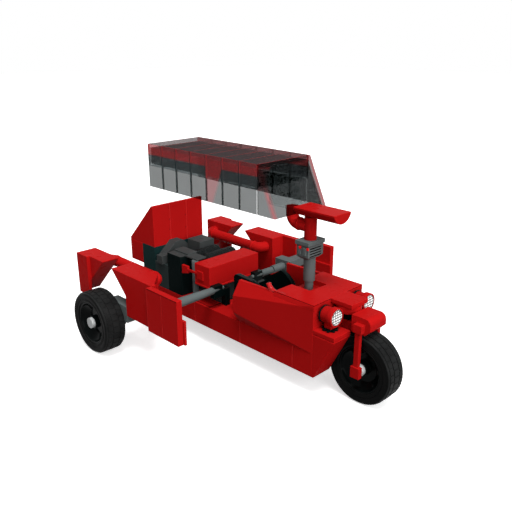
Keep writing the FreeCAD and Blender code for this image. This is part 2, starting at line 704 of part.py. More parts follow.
def lamp_pieces():
    start = back(-S.lamp_standoff)
    front = start + S.lamp_length
    height = CHIN + S.lamp_lift + S.lamp_radius
    inner = S.lamp_radius - S.lamp_wall
    stub = rod("LampStub", "x", (back(0), LAMP, height), S.lamp_stub, S.lamp_standoff)
    can = rod("LampCan", "x", (start + S.lamp_back, LAMP, height), inner, S.lamp_length - S.lamp_back)
    collar = rod("LampCollar", "x", (front - S.lamp_collar, LAMP, height), S.lamp_radius, S.lamp_collar)
    hollow = rod("LampHollow", "x", (front - S.lens_depth, LAMP, height), inner, S.lens_depth + S.plate)
    node("headlamp_housings", pair("LampHousings", cut("LampHousing", fuse("LampWhole", can, collar), hollow)))
    plate = rod("LampBackPlate", "x", (start, LAMP, height), S.lamp_radius - S.lamp_wall / 2, S.lamp_back)
    node("headlamp_backs", pair("LampBacks", fuse("LampBack", stub, plate)))
    lens = rod("Lens", "x", (front - S.lens_depth, LAMP, height), inner - S.axle_play, S.lens_depth)
    node("headlamp_lenses", pair("Lenses", lens))
    middle = start + S.lamp_length / 2
    node("headlamp_clips", pair("LampClips", toothed("LampClip", middle, LAMP, CHIN)))
    blank = box("LampStandBlank", (middle - S.stand_length / 2, middle + S.stand_length / 2),
                (LAMP - S.stand_width / 2, LAMP + S.stand_width / 2), (CHIN + S.clip_height, height))
    can_space = rod("LampCanSpace", "x", (back(0), LAMP, height), inner, S.lamp_length * 2)
    collar_space = rod("LampCollarSpace", "x", (front - S.lamp_collar, LAMP, height), S.lamp_radius,
                       S.lamp_length)
    node("headlamp_stands", pair("LampStands", cut("LampStand", blank, can_space, collar_space)))


def fork_pieces():
    """Fork: a dish and pin under the nose plate, a block, a rounded head and two blades."""
    axle = S.front_axle
    pin_x = back(-S.nose_length / 2)
    dish_low = HOOD_LOW - S.dish_height
    head_low = S.tyre_radius * 2 + S.head_gap
    head_top = head_low + S.head_height
    head_rear = back(-S.nose_length) + S.seam
    head_front = head_rear + S.head_length
    block_top = head_top - S.block_drop
    block_low = block_top - S.block_height
    node("fork_dish", rod("ForkDish", "z", (pin_x, 0, dish_low), S.nose_half - S.seam * 2, S.dish_height))
    node("fork_pin", rod("ForkPin", "z", (pin_x, 0, block_top), S.pin_radius, dish_low - block_top))
    node("fork_block", wide_box("ForkBlock", (pin_x - S.pin_radius * 2, head_rear), S.block_half,
                                (block_low, block_top)))
    chin = S.head_chin
    head = prism("ForkHead", "side", [
        (head_rear, head_low), (head_front - chin, head_low), (head_front, head_low + chin),
        (head_front, head_top - S.head_round, S.head_round), (head_front - S.head_round, head_top),
        (head_rear, head_top)], -S.head_half, S.head_half * 2)
    node("fork_head", head)
    shoulder_out = BLADE_OUT + S.shoulder_proud
    shoulder = box("Shoulder", (head_rear + chin, head_front - chin), (S.head_half, shoulder_out),
                   (head_low + chin / 2, head_top - chin))
    blade = box("Blade", (axle - S.blade_width / 2, axle + S.blade_width / 2), (BLADE_IN, BLADE_OUT),
                (S.tyre_radius, head_low + S.head_height / 2))
    foot = box("BladeFoot", (axle - S.foot_length / 2, axle + S.foot_length / 2), (BLADE_IN, shoulder_out),
               (S.tyre_radius - S.foot_height / 2, S.tyre_radius + S.foot_height / 2))
    bore = rod("BladeBore", "y", (axle, BLADE_IN - S.plate, S.tyre_radius), S.axle_radius,
               S.plate + S.blade_thick)
    side = cut("ForkSide", fuse("ForkSideWhole", blade, foot, shoulder), bore)
    node("fork_blades", pair("ForkBlades", side))
    pin = rod("FrontAxleBar", "y", (axle, -BLADE_OUT, S.tyre_radius), S.axle_radius, BLADE_OUT * 2)
    bush_in = S.hub_width / 2 + S.bush_play
    bush = rod("FrontBush", "y", (axle, bush_in, S.tyre_radius), S.bush_radius, BLADE_IN - bush_in)
    node("front_axle_pin", fuse("FrontAxlePin", pin, bush, mirror("FrontBushMirror", bush)))


def rear_axle_pieces():
    """Cross beam, a knuckle inside each rear wheel and the pin that the wheel turns on."""
    axle = back(AXLE)
    centre = S.tyre_radius
    knuckle_out = FENDER_OUT - S.seam
    knuckle_in = knuckle_out - S.knuckle_width
    beam = rod("AxleBeam", "y", (axle, -knuckle_in, centre), S.axle_radius, knuckle_in * 2)
    node("rear_axle_beam", beam)
    boss = rod("KnuckleBoss", "y", (axle, knuckle_in, centre), S.knuckle_radius, S.knuckle_width)
    arm = box("KnuckleArm", (axle, back(TOWER + S.fender_lip + S.seam)), (knuckle_in, knuckle_out),
              (centre + S.knuckle_low, centre + S.knuckle_high))
    node("rear_knuckles", pair("Knuckles", fuse("Knuckle", boss, arm)))
    bush_in = WHEEL + S.hub_width / 2 + S.bush_play
    pin = rod("RearPin", "y", (axle, knuckle_out, centre), S.axle_radius, bush_in - knuckle_out)
    bush = rod("RearBush", "y", (axle, bush_in, centre), S.bush_radius, S.bush_length)
    node("rear_axle_pins", pair("RearPins", fuse("RearPinWhole", pin, bush)))


def ribbed_drum(name, x, z, start, length):
    """Drum along Y with ribs all along it."""
    count = int(float(length) / float(S.drum_rib * 2))
    rest = (length - S.drum_rib * (2 * count - 1)) / 2
    crest = S.drum_radius
    valley = crest - S.drum_groove
    corners = [(0 * length, 0 * crest), (0 * length, valley), (rest, valley)]
    for rib in range(count):
        low = rest + S.drum_rib * (2 * rib)
        high = low + S.drum_rib
        corners += [(low, crest), (high, crest), (high, valley)]
        if rib < count - 1:
            corners.append((high + S.drum_rib, valley))
    corners += [(length * 1, valley), (length * 1, 0 * crest)]
    return turned(name, corners, x, start, z)


def engine_pieces():
    """Open engine: a sump, a black tower with a lid, ribbed drums, a gabled cover and an air box."""
    inner = S.body_half - S.tower_width
    node("engine_sump", prism("Sump", "top", [
        (back(BULKHEAD), -S.body_half), (back(TOWER_END + S.seam), -S.body_half),
        (back(TOWER_END + S.seam), -inner + S.seam), (back(BAY_END + S.seam), -inner + S.seam),
        (back(BAY_END + S.seam), S.body_half), (back(BULKHEAD), S.body_half)], DECK, S.sump_height))
    round_edge = S.tower_round
    node("engine_tower", prism("EngineTower", "top", [
        (back(TOWER_END), -S.body_half), (back(TOWER + round_edge), -S.body_half, round_edge),
        (back(TOWER), round_edge - S.body_half), (back(TOWER), -inner), (back(TOWER_END), -inner)],
        DECK, LEVEL - DECK))
    lid_low = LEVEL - S.lid_step
    lid_in = S.lid_inset + S.lid_width / 2 - (inner + S.body_half) / 2
    lid_out = lid_in - S.lid_width
    lid = box("LidRear", (back(TOWER_END), back(TOWER - S.lid_step)), (lid_out, lid_in),
              (LEVEL, LEVEL + S.lid_thick))
    lid_front = box("LidFront", (back(TOWER), back(BAY_END + S.lid_short)),
                    (lid_out - S.lid_shift, lid_in - S.lid_shift), (lid_low, lid_low + S.lid_thick))
    node("tower_cap", fuse("TowerCap", lid, lid_front))
    node("engine_post", rod("EnginePost", "z", (back(BAY_END + S.post_gap), S.post_inset - S.body_half, DECK),
                            S.axle_radius, lid_low - DECK))
    air_front = BULKHEAD - S.air_back - S.air_length
    air_box = box("AirBox", (back(air_front + S.air_length), back(air_front)),
                  (S.plate / 2, S.plate / 2 + S.air_width), (SUMP, SUMP + S.air_height))
    side = -S.gable_side
    eaves = SUMP + S.gable_eaves
    crest = SUMP + S.gable_height
    gable = prism("Gable", "end", [
        (side - S.gable_half, SUMP), (side + S.gable_half, SUMP), (side + S.gable_half, eaves),
        (side + S.gable_ridge, crest), (side - S.gable_ridge, crest), (side - S.gable_half, eaves)],
        back(BULKHEAD), S.gable_length)
    peg = box("GablePeg", (back(AXLE + S.peg_length / 2), back(AXLE - S.peg_length / 2)),
              (-S.body_half - S.peg_proud, side - S.gable_half + S.plate), (SUMP, SUMP + S.peg_height))
    cover = fuse("GableCover", gable, peg)
    node("engine_covers", group("EngineCovers", cover, air_box))
    first = air_front - S.seam - S.drum_radius
    second = first - S.drum_radius * 2 - S.seam * 3
    height = SUMP + S.drum_radius
    drums = [ribbed_drum("RearDrum", back(first), height, S.seam - inner, S.body_half - inner / 4),
             ribbed_drum("FrontDrum", back(second), height, S.seam - inner, S.body_half + inner / 2)]
    node("engine_drums", group("Drums", *drums))


def engine_box_pieces():
    """Red box across the front of the engine, with a flange and a stand, and its service lever."""
    half = S.body_half
    low = LEVEL - S.bay_height
    proud = S.flange_proud
    body = wide_box("EngineBoxBody", (back(BAY_END), back(BAY)), half, (low, LEVEL))
    flange = wide_box("EngineBoxFlange", (back(BAY_END), back(BAY - proud)), half + proud,
                      (low, low + S.bay_flange))
    node("engine_box", fuse("EngineBox", body, flange))
    middle = (BAY + BAY_END) / 2
    node("engine_box_stand", wide_box("EngineBoxStand", (back(middle + S.bay_stand / 2),
                                                         back(middle - S.bay_stand / 2)),
                                      S.bay_stand, (DECK, low)))
    height = low + S.bay_height / 2
    pad_front = BAY_END - S.lever_pad * 1.5
    pad_rear = pad_front + S.lever_pad
    skin = -half - S.lever_proud
    pad = box("LeverPad", (back(pad_rear), back(pad_front)), (skin, -half),
              (height - S.lever_pad / 2, height + S.lever_pad / 2))
    rear = BAY_END + S.lever_reach
    arm = box("LeverArm", (back(rear - S.lever_head), back(pad_rear)), (skin, -half),
              (height, height + S.lever_arm))
    head = prism("LeverHead", "side", [
        (back(rear), height - S.lever_head / 2), (back(rear - S.lever_head), height - S.lever_head / 4),
        (back(rear - S.lever_head), height + S.lever_head / 2), (back(rear), height + S.lever_head / 2)],
        skin, S.lever_proud * 2)
    node("service_lever", fuse("ServiceLever", pad, arm, head))


def rear_pieces():
    """Bulkhead behind the engine, tail block and the long slope in three pieces on top of both."""
    node("bulkhead", wide_box("Bulkhead", (back(BULKHEAD_END - S.seam), back(BULKHEAD)), S.body_half,
                              (DECK, LEVEL)))
    node("tail_block", wide_box("TailBlock", (back(TAIL), back(BULKHEAD_END)), S.body_half,
                                (LEVEL - S.tail_height, LEVEL)))
    crest = LEVEL + S.slope_height
    width = S.body_half * 2 / 3
    slopes = [prism(f"Slope{piece}", "side", [
        (back(TAIL), LEVEL), (back(BULKHEAD), LEVEL), (back(BULKHEAD), crest),
        (back(BULKHEAD + S.slope_crest), crest), (back(TAIL), LEVEL + S.slope_lip)],
        width * piece - S.body_half + S.seam, width - S.seam * 2) for piece in range(3)]
    node("rear_slope", group("RearSlope", *slopes))


def fender_pieces():
    """Fenders inboard of the rear wheels: a tail part, a front part and two proud outer panels."""
    outer = FENDER_OUT
    inner = FENDER_IN
    low = FENDER_LOW
    run = TAIL - BULKHEAD
    tail = prism("FenderTail", "side", [
        (back(TAIL), low), (back(TAIL - S.tail_foot), low), (back(BULKHEAD), low + run - S.tail_foot),
        (back(BULKHEAD), LEVEL), (back(TAIL), LEVEL)],
        inner, S.fender_width - S.tail_skin)
    skin = box("FenderTailSkin", (back(TAIL), back(TAIL - S.tail_strip)), (outer - S.tail_skin, outer),
               (low, LEVEL))
    node("fender_tails", pair("FenderTails", fuse("FenderTailWhole", tail, skin)))
    slant = S.tower_length - S.fender_lip
    body = prism("FenderFront", "side", [
        (back(TOWER_END), LEVEL), (back(TOWER_END), LEVEL - S.fender_lip),
        (back(TOWER_END - slant), LEVEL - S.fender_lip - slant), (back(TOWER_END - slant), low),
        (back(BAY_END), low), (back(BAY_END), LEVEL)], inner, S.fender_width)
    wall_in = outer - S.fender_skin
    wall = box("FenderWall", (back(BAY_END), back(COCKPIT + S.fender_panel * 2)), (wall_in, outer),
               (low, LEVEL))
    layer = box("FenderLayer", (back(BAY_END), back(REAR)), (outer - S.layer_thick, outer),
                (DECK, LEVEL - S.layer_drop))
    left = fuse("LeftFenderFront", body, wall, layer)
    wing = prism("FenderWing", "top", [
        (back(BAY_END), -wall_in), (back(BAY_END), -inner), (back(BAY_END - S.fender_panel), -wall_in - S.plate)
        ], LEVEL - S.plate, S.plate)
    right = fuse("RightFenderFront", mirror("LeftFenderMirror", left), wing)
    node("fender_fronts", group("FenderFronts", left, right))
    panels = []
    for name, front in (("Front", COCKPIT), ("Rear", COCKPIT + S.fender_panel)):
        panels.append(box("FenderPanel" + name, (back(front + S.fender_panel - S.seam), back(front + S.seam)),
                          (outer, outer + S.fender_skin), (DECK, LEVEL)))
        panels.append(mirror(f"FenderPanel{name}Mirror", panels[-1]))
    node("fender_panels", group("FenderPanels", *panels))


def arm_pieces():
    """Cross arms that carry the fenders, each turned in stages, and the clamps that hold their tips."""
    x = back(BAY - S.arm_gap)
    z = LEVEL - S.arm_drop
    outer = FENDER_IN - S.stud
    ring = S.arm_ring
    second = outer - S.arm_stage
    third = second - S.arm_stage
    tip = third - S.arm_taper
    bar = turned("ArmBar", [
        (tip, 0 * S.arm_tip), (tip, S.arm_tip), (third, S.arm_neck), (third, S.arm_middle),
        (second - ring, S.arm_middle), (second - ring, S.arm_neck), (second, S.arm_neck),
        (second, S.arm_radius), (outer, S.arm_radius), (outer, 0 * S.arm_radius)], x, 0, z)
    half = S.block_length / 2
    block = prism("ArmBlock", "side", [
        (x - half, z), (x - S.stud / 2, z - S.plate * 1.5), (x + S.stud / 2, z - S.plate * 1.5),
        (x + half, z), (x + half, z + S.plate * 1.5), (x - half, z + S.plate * 1.5)], outer, S.stud)
    stub = box("ArmStub", (x - S.stud / 2, x + S.stud / 2), (FENDER_IN, FENDER_OUT - S.layer_thick),
               (z - S.plate, z + S.plate))
    node("cross_arms", pair("CrossArms", fuse("CrossArm", bar, block, stub)))
    rear = back(BAY - S.flange_proud - S.seam)
    reach = (rear, rear + S.clamp_length)
    grip_in = third - S.clamp_width
    leg_out = S.clamp_leg + S.clamp_width * 0.8
    low = z - S.clamp_half * 2
    tie_top = z - S.clamp_half / 3
    grip = box("ClampGrip", reach, (grip_in - S.plate, third - S.seam), (low, z + S.clamp_half))
    tie = box("ClampTie", reach, (S.clamp_leg, grip_in), (low, tie_top))
    leg = box("ClampLeg", reach, (S.clamp_leg, leg_out), (DECK, tie_top))
    node("arm_clamps", pair("ArmClamps", cut("ArmClamp", fuse("ArmClampWhole", grip, tie, leg), bar)))


def pipe_pieces():
    """Side pipe inside each fender, with a bend outward into the fender at both ends."""
    radius = float(S.tube_radius)
    bend = float(S.pipe_inset - S.pipe_stub)
    rear = float(back(BULKHEAD_END + S.pipe_tail))
    front = float(back(BAY_END + S.pipe_lead))
    reach = float(FENDER_IN)
    line = reach - float(S.pipe_inset)
    height = float(LEVEL - S.pipe_drop)
    turn = bend * (1 - math.sqrt(0.5))
    spots = [FreeCAD.Vector(rear, reach, height), FreeCAD.Vector(rear, line + bend, height),
             FreeCAD.Vector(rear + turn, line + turn, height), FreeCAD.Vector(rear + bend, line, height),
             FreeCAD.Vector(front - bend, line, height), FreeCAD.Vector(front - turn, line + turn, height),
             FreeCAD.Vector(front, line + bend, height), FreeCAD.Vector(front, reach, height)]
    path = Part.Wire([
        Part.LineSegment(spots[0], spots[1]).toShape(), Part.Arc(*spots[1:4]).toShape(),
        Part.LineSegment(spots[3], spots[4]).toShape(), Part.Arc(*spots[4:7]).toShape(),
        Part.LineSegment(spots[6], spots[7]).toShape()])
    section = Part.Wire(Part.makeCircle(radius, spots[0], FreeCAD.Vector(0, 1, 0)))
    pipe = feature("SidePipeTube", path.makePipeShell([section], True, True))
    y = FENDER_IN - S.pipe_inset
    z = LEVEL - S.pipe_drop
    bend_length = S.pipe_inset - S.pipe_stub
    rings = [rod(name, "x", (x, y, z), S.tube_radius + S.ring_proud, S.ring_width) for name, x in (
        ("PipeRearRing", back(BULKHEAD_END + S.pipe_tail) + bend_length),
        ("PipeFrontRing", back(BAY_END + S.pipe_lead) - bend_length - S.ring_width))]
    node("side_pipes", pair("SidePipes", fuse("SidePipe", pipe, *rings)))


def control_box():
    """Box with a stepped top and a chamfered foot, a grille in front and lever plates at its side."""
    x = back(COLUMN)
    long_half = S.box_length / 2
    step = S.box_step
    chamfer = S.box_chamfer
    flange_low = BOX_HIGH - S.plate

    def hull(name, plane, middle, half, start, depth):
        """One outline of the box seen along an axis."""
        return prism(name, plane, [
            (middle - half, BOX_HIGH), (middle - half, flange_low + step), (middle - half + step, flange_low),
            (middle - half + step, BOX_LOW + chamfer), (middle - half + step + chamfer, BOX_LOW),
            (middle + half - step - chamfer, BOX_LOW), (middle + half - step, BOX_LOW + chamfer),
            (middle + half - step, flange_low), (middle + half, flange_low + step),
            (middle + half, BOX_HIGH)], start, depth)

    body = common("ControlHull", hull("ControlSide", "side", x, long_half, -S.box_half, S.box_half * 2),
                  hull("ControlEnd", "end", 0 * S.stud, S.box_half, x - long_half, S.box_length))
    front = x + long_half - step
    sills = [BOX_LOW + chamfer + S.slot_pitch * row for row in range(SLOTS)]
    slots = [wide_box(f"GrilleSlot{row}", (front - step, front + step), S.box_half - chamfer * 1.5,
                      (sill, sill + S.slot_height)) for row, sill in enumerate(sills)]
    side = step - S.box_half
    lever_low = flange_low - S.lever_height - step
    levers = [box(f"LeverPlate{spot}", (x + S.lever_width * spot, x + S.lever_width * (spot + 1)),
                  (side - S.lever_proud, side + step), (lever_low, lever_low + S.lever_height))
              for spot in (-1.5, 0.5)]
    node("control_box", fuse("ControlBox", cut("ControlGrille", body, *slots), *levers))


def column_pieces():
    """Column in the hood's hole: foot, control box, red tube, branch tube and a rounded cap."""
    x = back(COLUMN)
    foot = rod("ColumnFoot", "z", (x, 0, HOOD_LOW), S.foot_radius, S.foot_rise)
    stage = rod("ColumnStage", "z", (x, 0, HOOD_LOW + S.foot_rise), S.stage_radius, S.stage_rise)
    node("column_foot", fuse("ColumnLower", foot, stage))
    control_box()
    tube = rod("ColumnTube", "z", (x, 0, BOX_HIGH), S.tube_radius, S.tube_rise)
    node("column_tube", cut("ColumnTubeNotched", tube, branch_solid("BranchSpace")))
    node("branch_tube", branch_solid("BranchTube"))
    drop = S.cap_height - S.cap_edge
    curve = (S.cap_half * S.cap_half + drop * drop) / (drop * 2)
    edge = CAP_HIGH - S.cap_edge
    node("column_cap", prism("ColumnCap", "end", [
        (-S.cap_half, CAP_HIGH), (-S.cap_half, edge, curve), (0 * S.cap_half, CAP_LOW, curve),
        (S.cap_half, edge), (S.cap_half, CAP_HIGH)], back(CAP_REAR), CAP_REAR))


def branch_solid(name):
    """Tube that leaves the column towards the rear and turns up to the canopy, with a joint ring."""
    radius = S.tube_radius
    bend = float(S.branch_bend)
    turn = bend * (1 - math.sqrt(0.5))
    z = float(BOX_HIGH + S.branch_rise)
    end_x = float(back(BRANCH))
    start = FreeCAD.Vector(float(back(COLUMN + radius / 2)), 0, z)
    level = FreeCAD.Vector(end_x + bend, 0, z)
    middle = FreeCAD.Vector(end_x + turn, 0, z + turn)
    rising = FreeCAD.Vector(end_x, 0, z + bend)
    finish = FreeCAD.Vector(end_x, 0, z + float(S.branch_climb))
    path = Part.Wire([Part.LineSegment(start, level).toShape(), Part.Arc(level, middle, rising).toShape(),
                      Part.LineSegment(rising, finish).toShape()])
    section = Part.Wire(Part.makeCircle(float(radius), start, FreeCAD.Vector(1, 0, 0)))
    tube = feature(name + "Bend", path.makePipeShell([section], True, True))
    ring = rod(name + "Ring", "x", (back(BRANCH) + S.branch_bend, 0, BOX_HIGH + S.branch_rise),
               radius + S.ring_proud, S.ring_width)
    return fuse(name, tube, ring)


def canopy_panel(index):
    """One canopy panel: two walls, a roof and a shelf between them; the last one has an end wall."""
    front = back(CANOPY + S.canopy_panel * index)
    rear = front - S.canopy_panel
    wall = S.canopy_wall
    half = S.body_half - wall
    name = f"CanopyPanel{index}"
    whole = wide_box(name + "Block", (rear + S.seam, front - S.seam), S.body_half, (CANOPY_LOW, CANOPY_HIGH))
    lower = wide_box(name + "Lower", (rear - wall, front + wall), half, (CANOPY_LOW - S.plate, SHELF))
    end = rear + wall if index == PANELS - 1 else rear - wall
    upper = wide_box(name + "Upper", (end, front + wall), half,
                     (SHELF + S.canopy_shelf, CANOPY_HIGH - S.canopy_roof))
    return cut(name, whole, lower, upper)


def canopy_pieces():
    """Hollow canopy, open below: seven panels, a sloping windscreen and a block that ties it on."""
    node("canopy_rear", group("CanopyRear", *[canopy_panel(index) for index in range(3, PANELS)]))
    node("canopy_band", canopy_panel(2))
    node("canopy_front", group("CanopyFront", *[canopy_panel(index) for index in (0, 1)]))
    front = back(CANOPY)
    wall = S.canopy_wall
    toe = back(SCREEN)
    below = CANOPY_LOW - S.plate
    start = front + S.seam
    roof = CANOPY_HIGH - wall
    outer = prism("ScreenOuter", "side", [
        (start, CANOPY_LOW), (toe, CANOPY_LOW), (start + S.screen_brow, CANOPY_HIGH), (start, CANOPY_HIGH)],
        -S.body_half, S.body_half * 2)
    inner = prism("ScreenInner", "side", [
        (start - wall, below), (toe - wall, below), (toe - wall, CANOPY_LOW),
        (start + S.screen_brow - wall, roof), (start - wall, roof)],
        wall - S.body_half, (S.body_half - wall) * 2)
    slot = wide_box("ScreenSlot", (start - wall, start + S.screen_slot), S.body_half + wall, (below, SHELF))
    node("windscreen", cut("Windscreen", outer, inner, slot))
    tie_front = back(BRANCH) + S.tie_lead
    tie_rear = tie_front - S.tie_length
    tie_low = BOX_HIGH + S.branch_rise + S.branch_climb
    node("canopy_tie", prism("CanopyTie", "side", [
        (tie_rear, tie_low), (tie_front, tie_low), (tie_front - S.tie_slope, SHELF), (tie_rear, SHELF)],
        -S.tie_half, S.tie_half * 2))


wheels()
floor_pieces()
hood_pieces()
cockpit_pieces()
chin_pieces()
lamp_pieces()
fork_pieces()
rear_axle_pieces()
engine_pieces()
engine_box_pieces()
rear_pieces()
fender_pieces()
arm_pieces()
pipe_pieces()
column_pieces()
canopy_pieces()
doc.recompute()

for item in doc.Objects:
    if "Invalid" in item.State or "Error" in item.State:
        raise RuntimeError(f"{item.Name} did not build: {item.State}")

os.makedirs("parts", exist_ok=True)
for item in NODES:
    if item.Shape.isNull() or not item.Shape.isValid():
        raise RuntimeError(f"{item.Label} has no valid shape")
    print(f"{item.Label}: {len(item.Shape.Solids)} solids, {item.Shape.Volume:.1f} mm3")
    item.Shape.exportStep(f"parts/{item.Label}.step")
print(len(NODES), "nodes")
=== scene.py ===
"""Looks of the brick-built three wheeler: moulded plastic, treaded tyres, lamps and smoked canopy."""

import json
import math

import bmesh
import bpy
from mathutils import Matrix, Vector


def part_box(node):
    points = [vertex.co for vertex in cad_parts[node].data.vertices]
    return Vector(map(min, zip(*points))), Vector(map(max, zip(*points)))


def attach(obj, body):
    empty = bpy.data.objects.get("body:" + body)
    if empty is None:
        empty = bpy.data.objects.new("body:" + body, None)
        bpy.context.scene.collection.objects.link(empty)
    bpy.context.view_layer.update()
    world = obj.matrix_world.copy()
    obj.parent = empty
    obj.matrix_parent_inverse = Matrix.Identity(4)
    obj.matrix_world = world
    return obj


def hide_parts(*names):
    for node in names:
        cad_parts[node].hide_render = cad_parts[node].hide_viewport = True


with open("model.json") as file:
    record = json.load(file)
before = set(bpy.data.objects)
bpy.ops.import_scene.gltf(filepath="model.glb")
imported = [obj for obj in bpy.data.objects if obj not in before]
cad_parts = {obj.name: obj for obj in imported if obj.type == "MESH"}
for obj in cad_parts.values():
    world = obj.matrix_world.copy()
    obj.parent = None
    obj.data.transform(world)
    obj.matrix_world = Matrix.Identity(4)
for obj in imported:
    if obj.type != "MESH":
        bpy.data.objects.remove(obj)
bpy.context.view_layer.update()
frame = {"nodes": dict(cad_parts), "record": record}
NODES = frame["nodes"]

MM = 0.001
SIDES = (-1, 1)

# Camera, as solved from the photograph
CAMERA_PLACE = Vector((0.2819, -0.2793, 0.2095))
CAMERA_TURN = math.radians(45.26)
CAMERA_PITCH = math.radians(19.34)
LENS = 42.81
CLIP_START = 0.01

# Colours of the moulded plastics and the rubber
RED = (0.47, 0.008, 0.008)
# Paler red of the brick joint lines: painted highlight
JOINT_HIGHLIGHT_RED = (0.72, 0.03, 0.03)
SEAM_RED = (0.28, 0.012, 0.014)
TIP_RED = (0.75, 0.01, 0.01)
TYRE_BLACK = (0.013, 0.0135, 0.0135)
RIM_BLACK = (0.002, 0.003, 0.003)
GLOSS_BLACK = (0.002, 0.006, 0.006)
# Black of the groove, dot and slot strips: painted shade
GROOVE_SHADE_BLACK = (0.004, 0.001, 0.001)
DRUM_BLACK = (0.010, 0.012, 0.012)
TOWER_BLACK = (0.004, 0.008, 0.008)
TOWER_TOP = (0.048, 0.052, 0.052)
BULKHEAD_GREY = (0.010, 0.030, 0.030)
JOINT_GREY = (0.02, 0.04, 0.042)
GRID_GREY = (0.02, 0.03, 0.03)
DARK_GREY = (0.030, 0.041, 0.041)
ENGINE_GREY = (0.050, 0.055, 0.055)
BLUE_GREY = (0.115, 0.135, 0.135)
PALE_GREY = (0.55, 0.56, 0.56)
LAMP_WHITE = (0.90, 0.91, 0.90)
# Painted glow of the unlit lenses
PAINTED_LENS_GLOW = (1.0, 1.0, 0.98)
WHITE = (1.0, 1.0, 1.0)

# Colours of the clear plastics
CLEAR_GREY = (0.195, 0.203, 0.203)
CLEAR_FAR = (0.30, 0.31, 0.31)
CLEAR_UPPER = (0.105, 0.120, 0.124)
CLEAR_ROOF = (0.112, 0.088, 0.090)
CLEAR_SHELF = (0.21, 0.25, 0.25)
CLEAR_TIE = (0.80, 0.84, 0.84)
CLEAR_PINK = (0.32, 0.18, 0.185)
CLEAR_RED = (0.44, 0.080, 0.085)
CLEAR_PILLAR = (0.36, 0.145, 0.15)

# Share of the light that the cloudier parts of the clear plastics do not let through
VEIL = 0.4

# Edges of the plastics, made paler as wear and as painted highlight: width, and the dot product of flat and
# rounded normal where the paler edge starts and is full
EDGE_WIDTH = 0.42 * MM
EDGE_SAMPLES = 4
EDGE_FLAT = 0.995
EDGE_ROUND = 0.80

# Range that a noise mostly stays in, and how far a face has to look along an axis to count as facing it
NOISE_RANGE = (0.3, 0.7)
SQUARE_ON = 0.5

# Sockets of the colour mix node, which shares its socket names between data types
MIX_FIRST = 6
MIX_SECOND = 7
MIX_RESULT = 2

# Light that the sky and the floor give, the floor's own glow for the camera, and its reach in metres
SKY_LIGHT = 0.30
FLOOR_LIGHT = 0.08
FLOOR_GLOW = 0.58
FLOOR_REACH = 4.0


# Materials
class Graph:
    """Node graph; an outlet is a (node, socket) pair."""

    def __init__(self, tree):
        self.tree = tree
        tree.nodes.clear()

    def node(self, kind, **values):
        item = self.tree.nodes.new(kind)
        for name, value in values.items():
            setattr(item, name, value)
        return item

    def link(self, outlet, target, inlet):
        node, socket = outlet
        self.tree.links.new(node.outputs[socket], target.inputs[inlet])

    def maths(self, operation, first, second=0.0):
        """One step of arithmetic; each value is a number or an outlet."""
        item = self.node("ShaderNodeMath", operation=operation)
        for inlet, value in enumerate((first, second)):
            if isinstance(value, tuple):
                self.link(value, item, inlet)
            else:
                item.inputs[inlet].default_value = value
        return item, "Value"

    def ranged(self, value, source=(0.0, 1.0), target=(0.0, 1.0)):
        """Maps a value from one range onto another."""
        item = self.node("ShaderNodeMapRange")
        for inlet, number in zip(("From Min", "From Max", "To Min", "To Max"), (*source, *target)):
            item.inputs[inlet].default_value = number
        self.link(value, item, "Value")
        return item, "Result"

    def mixed(self, factor, first, second):
        """Colour between two; each is a colour or an outlet."""
        item = self.node("ShaderNodeMix", data_type="RGBA")
        self.link(factor, item, "Factor")
        for inlet, value in ((MIX_FIRST, first), (MIX_SECOND, second)):
            if len(value) == 3:
                item.inputs[inlet].default_value = (*value, 1)
            else:
                self.link(value, item, inlet)
        return item, MIX_RESULT


